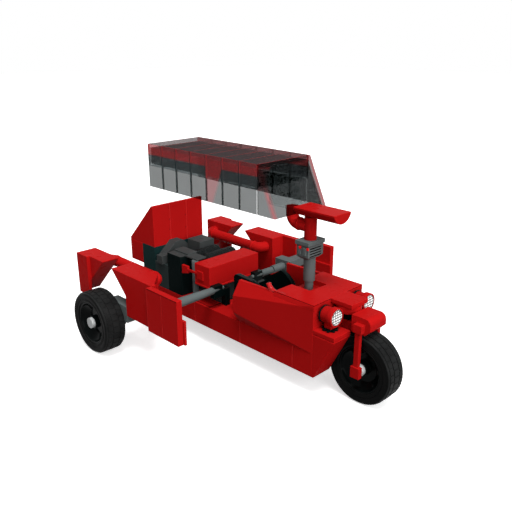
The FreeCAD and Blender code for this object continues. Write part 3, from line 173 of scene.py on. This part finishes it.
class Surface(Graph):
    """Material of one finish, with noise and masks laid out in the part's frame."""

    def __init__(self, name):
        self.material = bpy.data.materials.new(name)
        self.material.use_nodes = True
        super().__init__(self.material.node_tree)
        self.shader = self.node("ShaderNodeBsdfPrincipled")
        self.link((self.shader, "BSDF"), self.node("ShaderNodeOutputMaterial"), "Surface")
        self.place = self.node("ShaderNodeTexCoord")

    def set(self, inlet, value):
        """Value that one of the shader's sockets has all over."""
        self.shader.inputs[inlet].default_value = value

    def feed(self, outlet, inlet):
        """Value that changes over the surface."""
        self.link(outlet, self.shader, inlet)

    def noise(self, scale, detail):
        item = self.node("ShaderNodeTexNoise")
        item.inputs["Scale"].default_value = scale
        item.inputs["Detail"].default_value = detail
        self.link((self.place, "Object"), item, "Vector")
        return item, "Fac"

    def spread(self, noise, low, high):
        """Value that wanders over a range as a noise does."""
        return self.ranged(noise, NOISE_RANGE, (low, high))

    def mottled(self, noise, colour, low, high):
        """Colour made darker and lighter by a noise."""
        return self.mixed(self.spread(noise, 0.0, 1.0), shade(colour, low), shade(colour, high))

    def wear_and_highlight_edges(self):
        """Rounded normal, and a mask of the edges: how far that normal leaves the flat one."""
        bevel = self.node("ShaderNodeBevel", samples=EDGE_SAMPLES)
        bevel.inputs["Radius"].default_value = EDGE_WIDTH
        geometry = self.node("ShaderNodeNewGeometry")
        dot = self.node("ShaderNodeVectorMath", operation="DOT_PRODUCT")
        self.link((bevel, "Normal"), dot, 0)
        self.link((geometry, "Normal"), dot, 1)
        return (bevel, "Normal"), self.ranged((dot, "Value"), (EDGE_FLAT, EDGE_ROUND))

    def grain(self, scale, detail, strength, depth, normal=None):
        """Fine bumps, over the surface's own normal or a given one."""
        item = self.node("ShaderNodeBump")
        item.inputs["Strength"].default_value = strength
        item.inputs["Distance"].default_value = depth
        self.link(self.noise(scale, detail), item, "Height")
        if normal:
            self.link(normal, item, "Normal")
        self.feed((item, "Normal"), "Normal")

    def at(self, axis):
        """One coordinate of a point."""
        split = self.node("ShaderNodeSeparateXYZ")
        self.link((self.place, "Object"), split, "Vector")
        return split, axis

    def facing(self, axis):
        """1 where a face looks along an axis, either way."""
        geometry = self.node("ShaderNodeNewGeometry")
        split = self.node("ShaderNodeSeparateXYZ")
        self.link((geometry, "Normal"), split, "Vector")
        return self.maths("GREATER_THAN", self.maths("ABSOLUTE", (split, axis)), SQUARE_ON)

    def above(self, axis, line):
        return self.maths("GREATER_THAN", self.at(axis), line)

    def below(self, axis, line):
        return self.maths("LESS_THAN", self.at(axis), line)

    def near(self, axis, line, half):
        """1 within a distance of a line."""
        away = self.maths("ABSOLUTE", self.less(self.at(axis), line))
        return self.maths("LESS_THAN", away, half)

    def less(self, first, second):
        return self.maths("SUBTRACT", first, second)

    def both(self, first, second):
        return self.maths("MULTIPLY", first, second)

    def either(self, first, second):
        return self.maths("MAXIMUM", first, second)


def shade(colour, factor):
    return tuple(min(1.0, part * factor) for part in colour)


def plastic(name, colour, roughness=0.30, gloss=0.005, edge_wear_and_highlight=1.6, top=None):
    """Moulded plastic: faint flow marks, fine grain, edges made paler as wear and as painted highlight; top
    colours its level faces.
    """
    graph = Surface(name)
    body = graph.mottled(graph.noise(scale=38.0, detail=3.0), colour, low=0.985, high=1.015)
    if top:
        body = graph.mixed(graph.facing("Z"), body, top)
    normal, edges = graph.wear_and_highlight_edges()
    # Paler edges: partly wear, partly painted highlight where rounded edges catch the light
    graph.feed(graph.mixed(edges, body, shade(colour, edge_wear_and_highlight)), "Base Color")
    scuffs = graph.noise(scale=140.0, detail=4.0)
    graph.feed(graph.spread(scuffs, low=roughness * 0.8, high=roughness * 1.25), "Roughness")
    graph.grain(scale=2600.0, detail=1.0, strength=0.10, depth=0.02 * MM, normal=normal)
    graph.set("Specular IOR Level", gloss)
    return graph.material


def rubber(name, colour):
    """Tyre rubber: matt, with moulding dust on the tread, side walls painted darker as shade, and a fine
    grain.
    """
    graph = Surface(name)
    dust = graph.noise(scale=90.0, detail=5.0)
    tread = graph.mottled(dust, colour, low=0.8, high=1.5)
    # Painted shade: faces looking along Y, the side walls, are darkened
    graph.feed(graph.mixed(graph.facing("Y"), tread, shade(colour, 0.35)), "Base Color")
    graph.feed(graph.spread(dust, low=0.32, high=0.55), "Roughness")
    graph.grain(scale=1800.0, detail=2.0, strength=0.25, depth=0.05 * MM)
    graph.set("Specular IOR Level", 0.02)
    return graph.material


def clear(name, colour, tints=(), veil=None):
    """Clear plastic; each tint is (mask, colour) over the base colour, and veil masks its cloudier part."""
    graph = Surface(name)
    haze = graph.noise(scale=60.0, detail=3.0)
    tone = graph.mottled(haze, colour, low=0.97, high=1.03)
    for mask, tint in tints:
        tone = graph.mixed(mask(graph), tone, tint)
    graph.feed(tone, "Base Color")
    graph.feed(graph.spread(haze, low=0.0, high=0.02), "Roughness")
    graph.set("Transmission Weight", 1.0)
    if veil:
        graph.feed(graph.less(1.0, graph.maths("MULTIPLY", veil(graph), VEIL)), "Transmission Weight")
    graph.set("IOR", 1.0)
    return graph.material


def lamp_white(name, colour):
    """Bright lens over a reflector: faintly clouded white plastic with a painted glow, though the lamp is not
    lit.
    """
    graph = Surface(name)
    cloud = graph.noise(scale=300.0, detail=2.0)
    graph.feed(graph.mottled(cloud, colour, low=0.9, high=1.0), "Base Color")
    graph.set("Roughness", 0.15)
    # Painted light: the lens gives off a little light of its own
    graph.set("Emission Color", (*PAINTED_LENS_GLOW, 1))
    graph.set("Emission Strength", 0.45)
    return graph.material


# Parts of the canopy that are tinted in their own way
canopy_low, canopy_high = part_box("canopy_rear")
band_low, band_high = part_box("canopy_band")
screen_low, screen_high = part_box("windscreen")
TINT_LINE = canopy_high.z - 7.6 * MM
ROOF_LINE = canopy_high.z - 2.9 * MM
SHELF_LINE = (canopy_low.z + canopy_high.z) / 2
SHELF_HALF = 1.3 * MM
CANOPY_WALL = 1.6 * MM
WALL_MASK = CANOPY_WALL * 1.01
SLOT_HALF = 0.35 * MM
PILLAR = 2.6 * MM
SCREEN_LIP = 1.2 * MM
BAND_FOOT = 6.0 * MM


def roof_mask(graph):
    """Upper and lower face of the roof slab."""
    return graph.both(graph.above("Z", ROOF_LINE), graph.facing("Z"))


def between_walls(graph):
    """What lies between the two side walls."""
    return graph.near("Y", 0.0, canopy_high.y - WALL_MASK)


def walls(graph):
    """Both side walls; the mask is a hair thicker than a wall, to take in its inner face."""
    return graph.less(1.0, between_walls(graph))


def top_mask(graph):
    """Red strip along the top of both side walls."""
    return graph.both(walls(graph), graph.above("Z", TINT_LINE))


def upper_mask(graph):
    """Both side walls above the shelf."""
    return graph.both(walls(graph), graph.above("Z", SHELF_LINE))


def veil_mask(graph):
    """Where the plastic is cloudier: the walls above the shelf, and the roof."""
    return graph.either(upper_mask(graph), roof_mask(graph))


def shelf_mask(graph):
    """Upper and lower face of the shelf between the walls."""
    level = graph.both(between_walls(graph), graph.near("Z", SHELF_LINE, SHELF_HALF))
    return graph.both(level, graph.facing("Z"))


def ends_mask(graph):
    """Ends of the roof slabs and shelves, where one panel meets the next and light passes on."""
    slab = graph.either(graph.near("Z", SHELF_LINE, SHELF_HALF), graph.above("Z", ROOF_LINE))
    return graph.both(between_walls(graph), graph.both(slab, graph.facing("X")))


def slot_mask(graph):
    """Polished edges of the slot between the windscreen and the first panel."""
    return graph.both(graph.near("X", screen_low.x, SLOT_HALF), graph.below("Z", SHELF_LINE))


def far_mask(graph):
    """Lower half of the canopy's left wall, which is clearer."""
    return graph.both(graph.above("Y", 0.0), graph.below("Z", SHELF_LINE - SHELF_HALF))


def band_mask(graph):
    """Red band of one panel, whose front edge slants down towards the rear."""
    share = graph.maths("DIVIDE", graph.less(graph.at("Z"), band_low.z), TINT_LINE - band_low.z)
    reach = graph.maths("MULTIPLY", share, band_high.x - band_low.x - BAND_FOOT)
    edge = graph.maths("ADD", reach, band_low.x + BAND_FOOT)
    return graph.maths("LESS_THAN", graph.at("X"), edge)


def band_upper_mask(graph):
    """The part of the band, and of the red strip, that lies above the shelf."""
    return graph.both(graph.either(band_mask(graph), top_mask(graph)), graph.above("Z", SHELF_LINE))


def pillar_mask(graph):
    """Red pillars along both sloping edges of the windscreen."""
    run = screen_high.x - screen_low.x - SCREEN_LIP
    rise = screen_high.z - screen_low.z
    share = graph.maths("DIVIDE", graph.less(graph.at("Z"), screen_low.z), rise)
    front = graph.less(screen_high.x, graph.maths("MULTIPLY", share, run))
    depth = graph.maths("MULTIPLY", graph.less(front, graph.at("X")), rise / math.hypot(run, rise))
    edge = graph.maths("LESS_THAN", depth, PILLAR)
    side = graph.maths("GREATER_THAN", graph.maths("ABSOLUTE", graph.at("Y")), screen_high.y - PILLAR)
    return graph.both(edge, side)


INNER_TINTS = [(roof_mask, CLEAR_ROOF), (shelf_mask, CLEAR_SHELF), (ends_mask, CLEAR_TIE)]
SMOKE_TINTS = [(far_mask, CLEAR_FAR), (upper_mask, CLEAR_UPPER), (top_mask, CLEAR_RED), *INNER_TINTS]
BAND_TINTS = [(band_mask, CLEAR_PINK), (upper_mask, CLEAR_UPPER), (band_upper_mask, CLEAR_RED), *INNER_TINTS]
FRONT_TINTS = [(upper_mask, CLEAR_UPPER), (top_mask, CLEAR_RED), *INNER_TINTS, (slot_mask, WHITE)]
SCREEN_TINTS = [(pillar_mask, CLEAR_PILLAR), (slot_mask, WHITE)]

MATERIALS = {
    "red": plastic("red_plastic", RED),
    "tyre_rubber": rubber("tyre_rubber", TYRE_BLACK),
    "rim_black": plastic("rim_plastic", RIM_BLACK, roughness=0.09, gloss=0.03, edge_wear_and_highlight=3.0),
    "pale_grey": plastic("pale_plastic", PALE_GREY),
    "teal_grey": plastic("grey_plastic", BLUE_GREY),
    "dark_grey": plastic("dark_plastic", DARK_GREY),
    "gloss_black": plastic("black_plastic", GLOSS_BLACK, roughness=0.14, gloss=0.03, edge_wear_and_highlight=3.0),
    "smoke_clear": clear("smoked_plastic", CLEAR_GREY, SMOKE_TINTS, veil_mask),
    "red_clear": clear("red_clear_plastic", CLEAR_GREY, BAND_TINTS, veil_mask),
    "lamp_clear": lamp_white("lamp_plastic", LAMP_WHITE),
}
TIE_PLASTIC = clear("tie_plastic", CLEAR_TIE)
GRID_PLASTIC = plastic("lens_lines", GRID_GREY)
SEAM_PLASTIC = plastic("seam_red", SEAM_RED)
WALL_LINE_PLASTIC = plastic("joint_grey", JOINT_GREY)
JOINT_HIGHLIGHT_PAINT = plastic("joint_highlight", JOINT_HIGHLIGHT_RED)
TIP_PLASTIC = plastic("tip_red", TIP_RED, roughness=0.15, gloss=0.03)
GROOVE_SHADE_PAINT = plastic("groove_shade", GROOVE_SHADE_BLACK)
ENGINE_PLASTIC = plastic("engine_plastic", ENGINE_GREY)

# Finish of the CAD nodes: the slot's material, or one of their own
OWN_FINISH = {
    "windscreen": clear("windscreen_plastic", CLEAR_GREY, SCREEN_TINTS),
    "canopy_front": clear("front_panel_plastic", CLEAR_GREY, FRONT_TINTS, veil_mask),
    "rear_beam": MATERIALS["red"],
    "cockpit_handle": plastic("shiny_red", RED, roughness=0.16, gloss=0.18),
    "bulkhead": plastic("bulkhead_plastic", BULKHEAD_GREY),
    "engine_covers": ENGINE_PLASTIC,
    "tower_cap": ENGINE_PLASTIC,
    "engine_tower": plastic("tower_plastic", TOWER_BLACK, top=TOWER_TOP),
    # Drum ribs: edges made paler as wear and as painted highlight
    "engine_drums": plastic("drum_plastic", DRUM_BLACK, roughness=0.2, gloss=0.03, edge_wear_and_highlight=4.0),
}
CLEAR_SLOTS = ("smoke_clear", "red_clear")
WELD_GAP = 0.005 * MM
ROUNDING = 0.15 * MM
ROUNDING_STEPS = 2
ROUNDING_ANGLE = math.radians(40)

slots = {row["node"]: row["material_slot"] for row in frame["record"]["subparts"]}
for name, item in NODES.items():
    slot = slots[name]
    item.data.materials.clear()
    item.data.materials.append(OWN_FINISH.get(name, MATERIALS[slot]))
    if slot in CLEAR_SLOTS:
        item.visible_shadow = False
        continue
    weld = item.modifiers.new("weld", "WELD")
    weld.merge_threshold = WELD_GAP
    bevel = item.modifiers.new("edges", "BEVEL")
    bevel.width = ROUNDING
    bevel.segments = ROUNDING_STEPS
    bevel.limit_method = "ANGLE"
    bevel.angle_limit = ROUNDING_ANGLE
    bevel.use_clamp_overlap = True
    bevel.harden_normals = False


# Ways to build a piece
SHARP_ANGLE = math.radians(32)


def piece(name, mesh, material, body):
    """Object that rides on a body, with the material it is given."""
    item = bpy.data.objects.new(name, mesh)
    bpy.context.scene.collection.objects.link(item)
    item.data.materials.append(material)
    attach(item, body)
    return item


def mesh_of(name, shape, smooth=True):
    """Mesh from a bmesh, with its normals turned outwards."""
    bmesh.ops.recalc_face_normals(shape, faces=shape.faces)
    mesh = bpy.data.meshes.new(name)
    shape.to_mesh(mesh)
    shape.free()
    for face in mesh.polygons:
        face.use_smooth = smooth
    return mesh


def chassis_piece(name, shape, material):
    """Flat-faced piece on the chassis."""
    return piece(name, mesh_of(name, shape, False), material, "chassis")


def block(shape, first, second):
    """Box between two opposite corners."""
    made = bmesh.ops.create_cube(shape, size=1.0)
    spans = [sorted(pair) for pair in zip(first, second)]
    for vert in made["verts"]:
        vert.co = Vector([span[0] if value < 0 else span[1] for span, value in zip(spans, vert.co)])


def skin(shape, rows, closed):
    """Faces from row to row of corners; closed joins the last row to the first, and else both get a cap."""
    following_rows = rows[1:] + rows[:1] if closed else rows[1:]
    for row, following in zip(rows, following_rows):
        for spot in range(len(row)):
            after = (spot + 1) % len(row)
            shape.faces.new((row[spot], row[after], following[after], following[spot]))
    if not closed:
        shape.faces.new(rows[0])
        shape.faces.new(rows[-1])


def turns(count):
    """Angles of one full turn in equal steps."""
    return [2 * math.pi * step / count for step in range(count)]


# Clear block under the canopy, a hair below the shelf that it holds
TIE_GAP = 0.05 * MM
tie_shape = bmesh.new()
tie_shape.from_mesh(NODES["canopy_tie"].data)
tie_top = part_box("canopy_tie")[1].z
for vert in tie_shape.verts:
    if vert.co.z > tie_top - TIE_GAP:
        vert.co.z -= TIE_GAP
tie = chassis_piece("clear_tie", tie_shape, TIE_PLASTIC)
tie.visible_shadow = False
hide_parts("canopy_tie")

# Cross arms: the left one as it is, the right one a plain tapered bar, as the photograph shows it.
# The profile gives the place along the bar from its outer end, and the radius, in mm.
ARM_PROFILE = ((0.0, 3.6), (34.4, 2.9), (46.4, 2.5), (47.7, 1.8), (56.4, 1.2))
ARM_TURNS = 32
arm_low, arm_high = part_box("cross_arms")
arm_x = (arm_low.x + arm_high.x) / 2
arm_z = (arm_low.z + arm_high.z) / 2
arm_shape = bmesh.new()
arm_shape.from_mesh(NODES["cross_arms"].data)
bmesh.ops.delete(arm_shape, geom=[vert for vert in arm_shape.verts if vert.co.y < 0], context="VERTS")
arm_rows = []
for along, radius in ARM_PROFILE:
    y = arm_low.y + along * MM
    reach = radius * MM
    arm_rows.append([arm_shape.verts.new((arm_x + reach * math.sin(turn), y, arm_z + reach * math.cos(turn)))
                     for turn in turns(ARM_TURNS)])
skin(arm_shape, arm_rows, closed=False)
arms = piece("cross_arm_bars", mesh_of("cross_arm_bars", arm_shape), MATERIALS["teal_grey"],
             "chassis")
arms.data.set_sharp_from_angle(angle=SHARP_ANGLE)
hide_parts("cross_arms")

# Fine paler lines where bricks meet flush: painted highlights, standing in for the light that their rounded
# edges catch
LINE_HALF = 0.16 * MM
PROUD = 0.03 * MM
SUNK = 0.05 * MM
BRICK = 16.0 * MM
STUD = 8.0 * MM
beam_low, beam_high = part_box("mid_beam")
front_low, front_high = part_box("front_beam")
panel_low, panel_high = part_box("fender_panels")
slope_low, slope_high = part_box("rear_slope")
tile_low, tile_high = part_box("deck_tile")


def upright(shape, side, face_y, x, half, low_z, high_z):
    """Upright line on a face that looks along Y, at a distance from the middle plane."""
    face = side * face_y
    block(shape, (x - half, face - side * SUNK, low_z), (x + half, face + side * PROUD, high_z))


BEAM_JOINTS = (front_high.x - BRICK, (beam_high.x + front_low.x) / 2, tile_low.x, beam_low.x - BRICK)
PANEL_JOINTS = (panel_high.x - BRICK, panel_low.x + LINE_HALF)
joint_highlights = bmesh.new()
for side in SIDES:
    for x in BEAM_JOINTS:
        upright(joint_highlights, side, beam_high.y, x, LINE_HALF, beam_low.z + SUNK, beam_high.z - SUNK)
    for x in PANEL_JOINTS:
        upright(joint_highlights, side, panel_high.y, x, LINE_HALF, panel_low.z + SUNK, panel_high.z - SUNK)
    block(joint_highlights, (slope_high.x - SUNK, side * STUD - LINE_HALF, slope_low.z + SUNK),
          (slope_high.x + PROUD, side * STUD + LINE_HALF, slope_high.z - SUNK))
chassis_piece("joint_highlights", joint_highlights, JOINT_HIGHLIGHT_PAINT)

# Dark strips of painted shade in the grooves round the deck tile and along the top of the fender panels
GROOVE_HALF = 0.30 * MM
PANEL_GROOVE_FOOT = 0.75 * MM
PANEL_GROOVE_TOP = 0.40 * MM
shade_strips = bmesh.new()
block(shade_strips, (tile_high.x - GROOVE_HALF, tile_low.y + SUNK, tile_high.z - SUNK),
      (tile_high.x + GROOVE_HALF, tile_high.y - SUNK, tile_high.z + PROUD))
for side in SIDES:
    y = side * (tile_high.y - GROOVE_HALF * 2)
    block(shade_strips, (tile_low.x, y - GROOVE_HALF, tile_high.z - SUNK),
          (tile_high.x, y + GROOVE_HALF, tile_high.z + PROUD))
    face = side * panel_high.y
    block(shade_strips, (panel_low.x, face - side * SUNK, panel_high.z - PANEL_GROOVE_FOOT),
          (panel_high.x, face + side * PROUD, panel_high.z - PANEL_GROOVE_TOP))

# Dark dots of painted shade on the rear slope, as (y, z) in mm
DOT_HALF = 0.30 * MM
DOTS = ((-8.8, 89.6), (-8.8, 81.1), (-8.8, 73.0), (6.8, 81.9), (6.8, 71.7))
for y, z in DOTS:
    block(shade_strips, (slope_high.x - SUNK, y * MM - DOT_HALF, z * MM - DOT_HALF),
          (slope_high.x + PROUD, y * MM + DOT_HALF, z * MM + DOT_HALF))

# Painted shade at the backs of the slots in the control box: dark strips where the slots are shaded
SLOT_COUNT = 4
SLOT_DEPTH = 1.6 * MM
SLOT_FOOT = 1.6 * MM
SLOT_PITCH = 1.7 * MM
SLOT_HEIGHT = 0.8 * MM
SLOT_GAP = 0.02 * MM
SLOT_REACH = 5.58 * MM
FILL_BEHIND = 0.1 * MM
FILL_BEFORE = 0.5 * MM
box_low, box_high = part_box("control_box")
slot_back = box_high.x - SLOT_DEPTH
for row in range(SLOT_COUNT):
    sill = box_low.z + SLOT_FOOT + SLOT_PITCH * row
    block(shade_strips, (slot_back - FILL_BEHIND, -SLOT_REACH, sill + SLOT_GAP),
          (slot_back + FILL_BEFORE, SLOT_REACH, sill + SLOT_HEIGHT - SLOT_GAP))
chassis_piece("groove_shade_strips", shade_strips, GROOVE_SHADE_PAINT)

# Hood edges: the side panels and the nose reach up to the hood tile, with a groove just under its top that is
# painted as a dark strip of shade
EDGE_RISE = 2.65 * MM
EDGE_DEPTH = 1.0 * MM
EDGE_GROOVE = 0.32 * MM
NOSE_TAPER = 10.9 * MM
hood_low, hood_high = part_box("hood_tile")
foot = hood_low.z - SUNK
crest = hood_low.z + EDGE_RISE
EDGE_DEPTHS = ((hood_low.x, EDGE_DEPTH), (hood_high.x - NOSE_TAPER, EDGE_DEPTH), (hood_high.x, SUNK * 2))
hood_edges = bmesh.new()
hood_groove_shades = bmesh.new()
for side in SIDES:
    face = side * hood_high.y
    inner = side * (STUD + SUNK)
    rows = []
    for x, depth in EDGE_DEPTHS:
        section = ((face - side * SUNK, foot), (face + side * depth, foot + SUNK),
                   (face + side * SUNK, crest), (face - side * SUNK, crest))
        rows.append([hood_edges.verts.new((x, y, z)) for y, z in section])
    skin(hood_edges, rows, closed=False)
    block(hood_groove_shades, (hood_low.x, face - side * SUNK, crest),
          (hood_high.x, face + side * SUNK, crest + EDGE_GROOVE))
    block(hood_edges, (hood_high.x - SUNK, inner, foot), (hood_high.x + SUNK, face - side * SUNK, crest))
    block(hood_groove_shades, (hood_high.x - SUNK, inner, crest),
          (hood_high.x + SUNK, face - side * SUNK, crest + EDGE_GROOVE))
chassis_piece("hood_edges", hood_edges, MATERIALS["red"])
chassis_piece("hood_groove_shades", hood_groove_shades, GROOVE_SHADE_PAINT)

# Red tips of the two small levers on the control box
TIPS_X = (46.8 * MM, 53.0 * MM)
TIP_HALF = 0.65 * MM
TIP_OUT = 0.45 * MM
TIP_IN = 0.9 * MM
TIP_FOOT = 7.0 * MM
TIP_TOP = 8.7 * MM
TIP_ROUNDING = 0.2 * MM
tips = bmesh.new()
for x in TIPS_X:
    block(tips, (x - TIP_HALF, box_low.y - TIP_OUT, box_low.z + TIP_FOOT),
          (x + TIP_HALF, box_low.y + TIP_IN, box_low.z + TIP_TOP))
bmesh.ops.bevel(tips, geom=tips.edges[:], offset=TIP_ROUNDING, segments=ROUNDING_STEPS, affect="EDGES")
chassis_piece("lever_tips", tips, TIP_PLASTIC)

# Red seams across the roof, over the joints of the panels, and along both of its sides
SEAM_HALF = 0.17 * MM
PANEL = 16.0 * MM
PANEL_COUNT = 7
roof_seams = bmesh.new()
for index in range(PANEL_COUNT + 1):
    x = canopy_low.x + PANEL * index
    block(roof_seams, (x - SEAM_HALF, canopy_low.y, canopy_high.z - SUNK),
          (x + SEAM_HALF, canopy_high.y, canopy_high.z + PROUD))
for y in (canopy_low.y + SEAM_HALF, canopy_high.y - SEAM_HALF):
    block(roof_seams, (canopy_low.x, y - SEAM_HALF, canopy_high.z - SUNK),
          (canopy_low.x + PANEL * PANEL_COUNT, y + SEAM_HALF, canopy_high.z + PROUD))
chassis_piece("roof_seams", roof_seams, SEAM_PLASTIC)

# Dark lines down both walls, over the same joints
WALL_LINE_HALF = 0.22 * MM
wall_lines = bmesh.new()
for index in range(1, PANEL_COUNT):
    for side in SIDES:
        upright(wall_lines, side, canopy_high.y, canopy_low.x + PANEL * index, WALL_LINE_HALF,
                canopy_low.z, canopy_high.z - SUNK)
chassis_piece("wall_lines", wall_lines, WALL_LINE_PLASTIC)

# Tyres. The half profile goes up the side wall and over the shoulder, in mm: distance in from the widest
# place, with the height above the seat or the depth below the tread's base.
TYRE_TURNS = 96
TYRE_HEIGHT = 7.3 * MM
TYRE_WALL = ((0.9, 0.0), (0.3, 0.8), (0.3, 2.1), (0.55, 2.25), (0.55, 2.55), (0.3, 2.7), (0.0, 4.4))
TYRE_SHOULDER = ((0.0, 1.3), (0.3, 0.55), (1.3, 0.0))

# Tread blocks. Each row has its two ends along Y in mm, its shift in blocks, and how far it lies below the
# crown in mm.
TREAD_ROWS = ((-2.4, 2.4, 0.0, 0.0), (2.85, 6.35, 0.5, 0.06), (-6.35, -2.85, 0.5, 0.06))
TREAD_BLOCKS = 32
TREAD_DEPTH = 0.45 * MM
TREAD_ROOT = 0.3 * MM
TREAD_TAPER = 0.12 * MM
TREAD_SHARE = 0.90
LUG_FACES = ((0, 1, 3, 2), (4, 5, 7, 6), (0, 1, 5, 4), (2, 3, 7, 6), (0, 2, 6, 4), (1, 3, 7, 5))


def round_axle(centre, along, radius, turn):
    """Point at a distance along an axle and from it."""
    return centre + Vector((radius * math.sin(turn), along, radius * math.cos(turn)))


def lug(shape, centre, turn, spread, along, radii):
    """Tread block: a patch of the crown between two radii, narrower at its top."""
    corners = []
    for radius, inset in ((radii[0], 0.0), (radii[1], TREAD_TAPER)):
        for y in (along[0] + inset, along[1] - inset):
            for end in SIDES:
                angle = turn + end * (spread / 2 - inset / radius)
                corners.append(shape.verts.new(round_axle(centre, y, radius, angle)))
    for face in LUG_FACES:
        shape.faces.new([corners[index] for index in face])


def tyre(node, body):
    """Tyre with a moulded line on each side wall and three rows of low tread blocks."""
    low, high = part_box(node)
    centre = (low + high) / 2
    crown = (high.z - low.z) / 2
    half = (high.y - low.y) / 2
    seat = crown - TYRE_HEIGHT
    base = crown - TREAD_DEPTH
    right = [(half - inset * MM, seat + rise * MM) for inset, rise in TYRE_WALL]
    right += [(half - inset * MM, base - drop * MM) for inset, drop in TYRE_SHOULDER]
    profile = right + [(-along, radius) for along, radius in reversed(right)]
    shape = bmesh.new()
    rings = [[shape.verts.new(round_axle(centre, along, radius, turn)) for along, radius in profile]
             for turn in turns(TYRE_TURNS)]
    skin(shape, rings, closed=True)
    pitch = 2 * math.pi / TREAD_BLOCKS
    for start, finish, shift, drop in TREAD_ROWS:
        for step in range(TREAD_BLOCKS):
            lug(shape, centre, pitch * (step + shift), pitch * TREAD_SHARE, (start * MM, finish * MM),
                (base - TREAD_ROOT, crown - drop * MM))
    name = node + "_tread"
    item = piece(name, mesh_of(name, shape), MATERIALS["tyre_rubber"], body)
    item.data.set_sharp_from_angle(angle=SHARP_ANGLE)
    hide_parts(node)


tyre("front_tyre", "front_wheel")
tyre("left_tyre", "left_wheel")
tyre("right_tyre", "right_wheel")

# Lamps: a grid of lines on each lens, with some each side of its middle, and a dark ring round it as painted
# shade inside the housing's rim
GRID_ROWS = 2
GRID_PITCH = 1.7 * MM
GRID_HALF = 0.20 * MM
GRID_MARGIN = 0.3 * MM
GRID_PROUD = 0.05 * MM
SHADE_RING_WIDTH = 0.4 * MM
SHADE_RING_MARGIN = 0.02 * MM
SHADE_RING_PROUD = 0.07 * MM
SHADE_RING_TURNS = 64
LENS_SUNK = 0.1 * MM
lens_low, lens_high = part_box("headlamp_lenses")
lens_back = lens_high.x - LENS_SUNK
lens_radius = (lens_high.z - lens_low.z) / 2
lamp_y = lens_high.y - lens_radius
lamp_z = (lens_low.z + lens_high.z) / 2
LAMPS = {"left": lamp_y, "right": -lamp_y}
for label, y in LAMPS.items():
    grid = bmesh.new()
    front = lens_high.x + GRID_PROUD
    for row in range(-GRID_ROWS, GRID_ROWS + 1):
        offset = row * GRID_PITCH
        reach = math.sqrt((lens_radius - GRID_MARGIN) ** 2 - offset ** 2)
        block(grid, (lens_back, y + offset - GRID_HALF, lamp_z - reach),
              (front, y + offset + GRID_HALF, lamp_z + reach))
        block(grid, (lens_back, y - reach, lamp_z + offset - GRID_HALF),
              (front, y + reach, lamp_z + offset + GRID_HALF))
    chassis_piece(f"lens_grid_{label}", grid, GRID_PLASTIC)

# Dark ring round each lens: painted shade where the housing's inner wall is shaded
shade_ring_inner = lens_radius - SHADE_RING_WIDTH
shade_ring_outer = lens_radius - SHADE_RING_MARGIN
shade_ring_front = lens_high.x + SHADE_RING_PROUD
SHADE_RING_PROFILE = ((lens_back, shade_ring_inner), (shade_ring_front, shade_ring_inner), (shade_ring_front, shade_ring_outer), (lens_back, shade_ring_outer))
lens_shade_rings = bmesh.new()
for y in LAMPS.values():
    rings = [[lens_shade_rings.verts.new((x, y + radius * math.sin(turn), lamp_z + radius * math.cos(turn)))
              for x, radius in SHADE_RING_PROFILE] for turn in turns(SHADE_RING_TURNS)]
    skin(lens_shade_rings, rings, closed=True)
chassis_piece("lens_shade_rings", lens_shade_rings, MATERIALS["gloss_black"])


# Camera
camera_data = bpy.data.cameras.new("camera")
camera_data.lens = LENS
camera_data.clip_start = CLIP_START
camera = bpy.data.objects.new("camera", camera_data)
camera.location = CAMERA_PLACE
camera.rotation_euler = (math.pi / 2 - CAMERA_PITCH, 0, CAMERA_TURN)
bpy.context.scene.collection.objects.link(camera)
bpy.context.scene.camera = camera


# Light, floor and background
def sun(name, strength, spread, tilt, turn):
    """Soft light from far away; tilt is from straight above and turn is about Z, in degrees."""
    data = bpy.data.lights.new(name, "SUN")
    data.energy = strength
    data.angle = math.radians(spread)
    item = bpy.data.objects.new(name, data)
    item.rotation_euler = (math.radians(tilt), 0, math.radians(turn))
    bpy.context.scene.collection.objects.link(item)


def seen(graph):
    """1 for what the camera sees, straight, mirrored or through clear plastic."""
    path = graph.node("ShaderNodeLightPath")
    mirrored = graph.maths("MAXIMUM", (path, "Is Camera Ray"), (path, "Is Glossy Ray"))
    return graph.maths("MAXIMUM", mirrored, (path, "Is Transmission Ray"))


sun("top_light", strength=1.78, spread=22, tilt=22, turn=50)
sun("front_light", strength=2.15, spread=60, tilt=70, turn=78)
sun("spark_light", strength=0.35, spread=10, tilt=22, turn=70)

world = bpy.data.worlds.new("studio")
bpy.context.scene.world = world
world.use_nodes = True
sky = Graph(world.node_tree)
background = sky.node("ShaderNodeBackground")
background.inputs["Color"].default_value = (*WHITE, 1)
sky.link(sky.ranged(seen(sky), target=(SKY_LIGHT, 1.0)), background, "Strength")
sky.link((background, "Background"), sky.node("ShaderNodeOutputWorld"), "Surface")

paper = bpy.data.materials.new("paper")
paper.use_nodes = True
matt = Graph(paper.node_tree)
diffuse = matt.node("ShaderNodeBsdfDiffuse")
matt.link(matt.mixed(seen(matt), (FLOOR_LIGHT, FLOOR_LIGHT, FLOOR_LIGHT), WHITE), diffuse, "Color")
glow = matt.node("ShaderNodeEmission")
camera_ray = (matt.node("ShaderNodeLightPath"), "Is Camera Ray")
matt.link(matt.maths("MULTIPLY", camera_ray, FLOOR_GLOW), glow, "Strength")
total = matt.node("ShaderNodeAddShader")
matt.link((diffuse, "BSDF"), total, 0)
matt.link((glow, "Emission"), total, 1)
matt.link((total, "Shader"), matt.node("ShaderNodeOutputMaterial"), "Surface")

floor_mesh = bpy.data.meshes.new("floor")
corners = [(-FLOOR_REACH, -FLOOR_REACH, 0), (FLOOR_REACH, -FLOOR_REACH, 0), (FLOOR_REACH, FLOOR_REACH, 0),
           (-FLOOR_REACH, FLOOR_REACH, 0)]
floor_mesh.from_pydata(corners, [], [(0, 1, 2, 3)])
floor = bpy.data.objects.new("floor", floor_mesh)
bpy.context.scene.collection.objects.link(floor)
floor.data.materials.append(paper)

bpy.context.scene.view_settings.view_transform = "Standard"
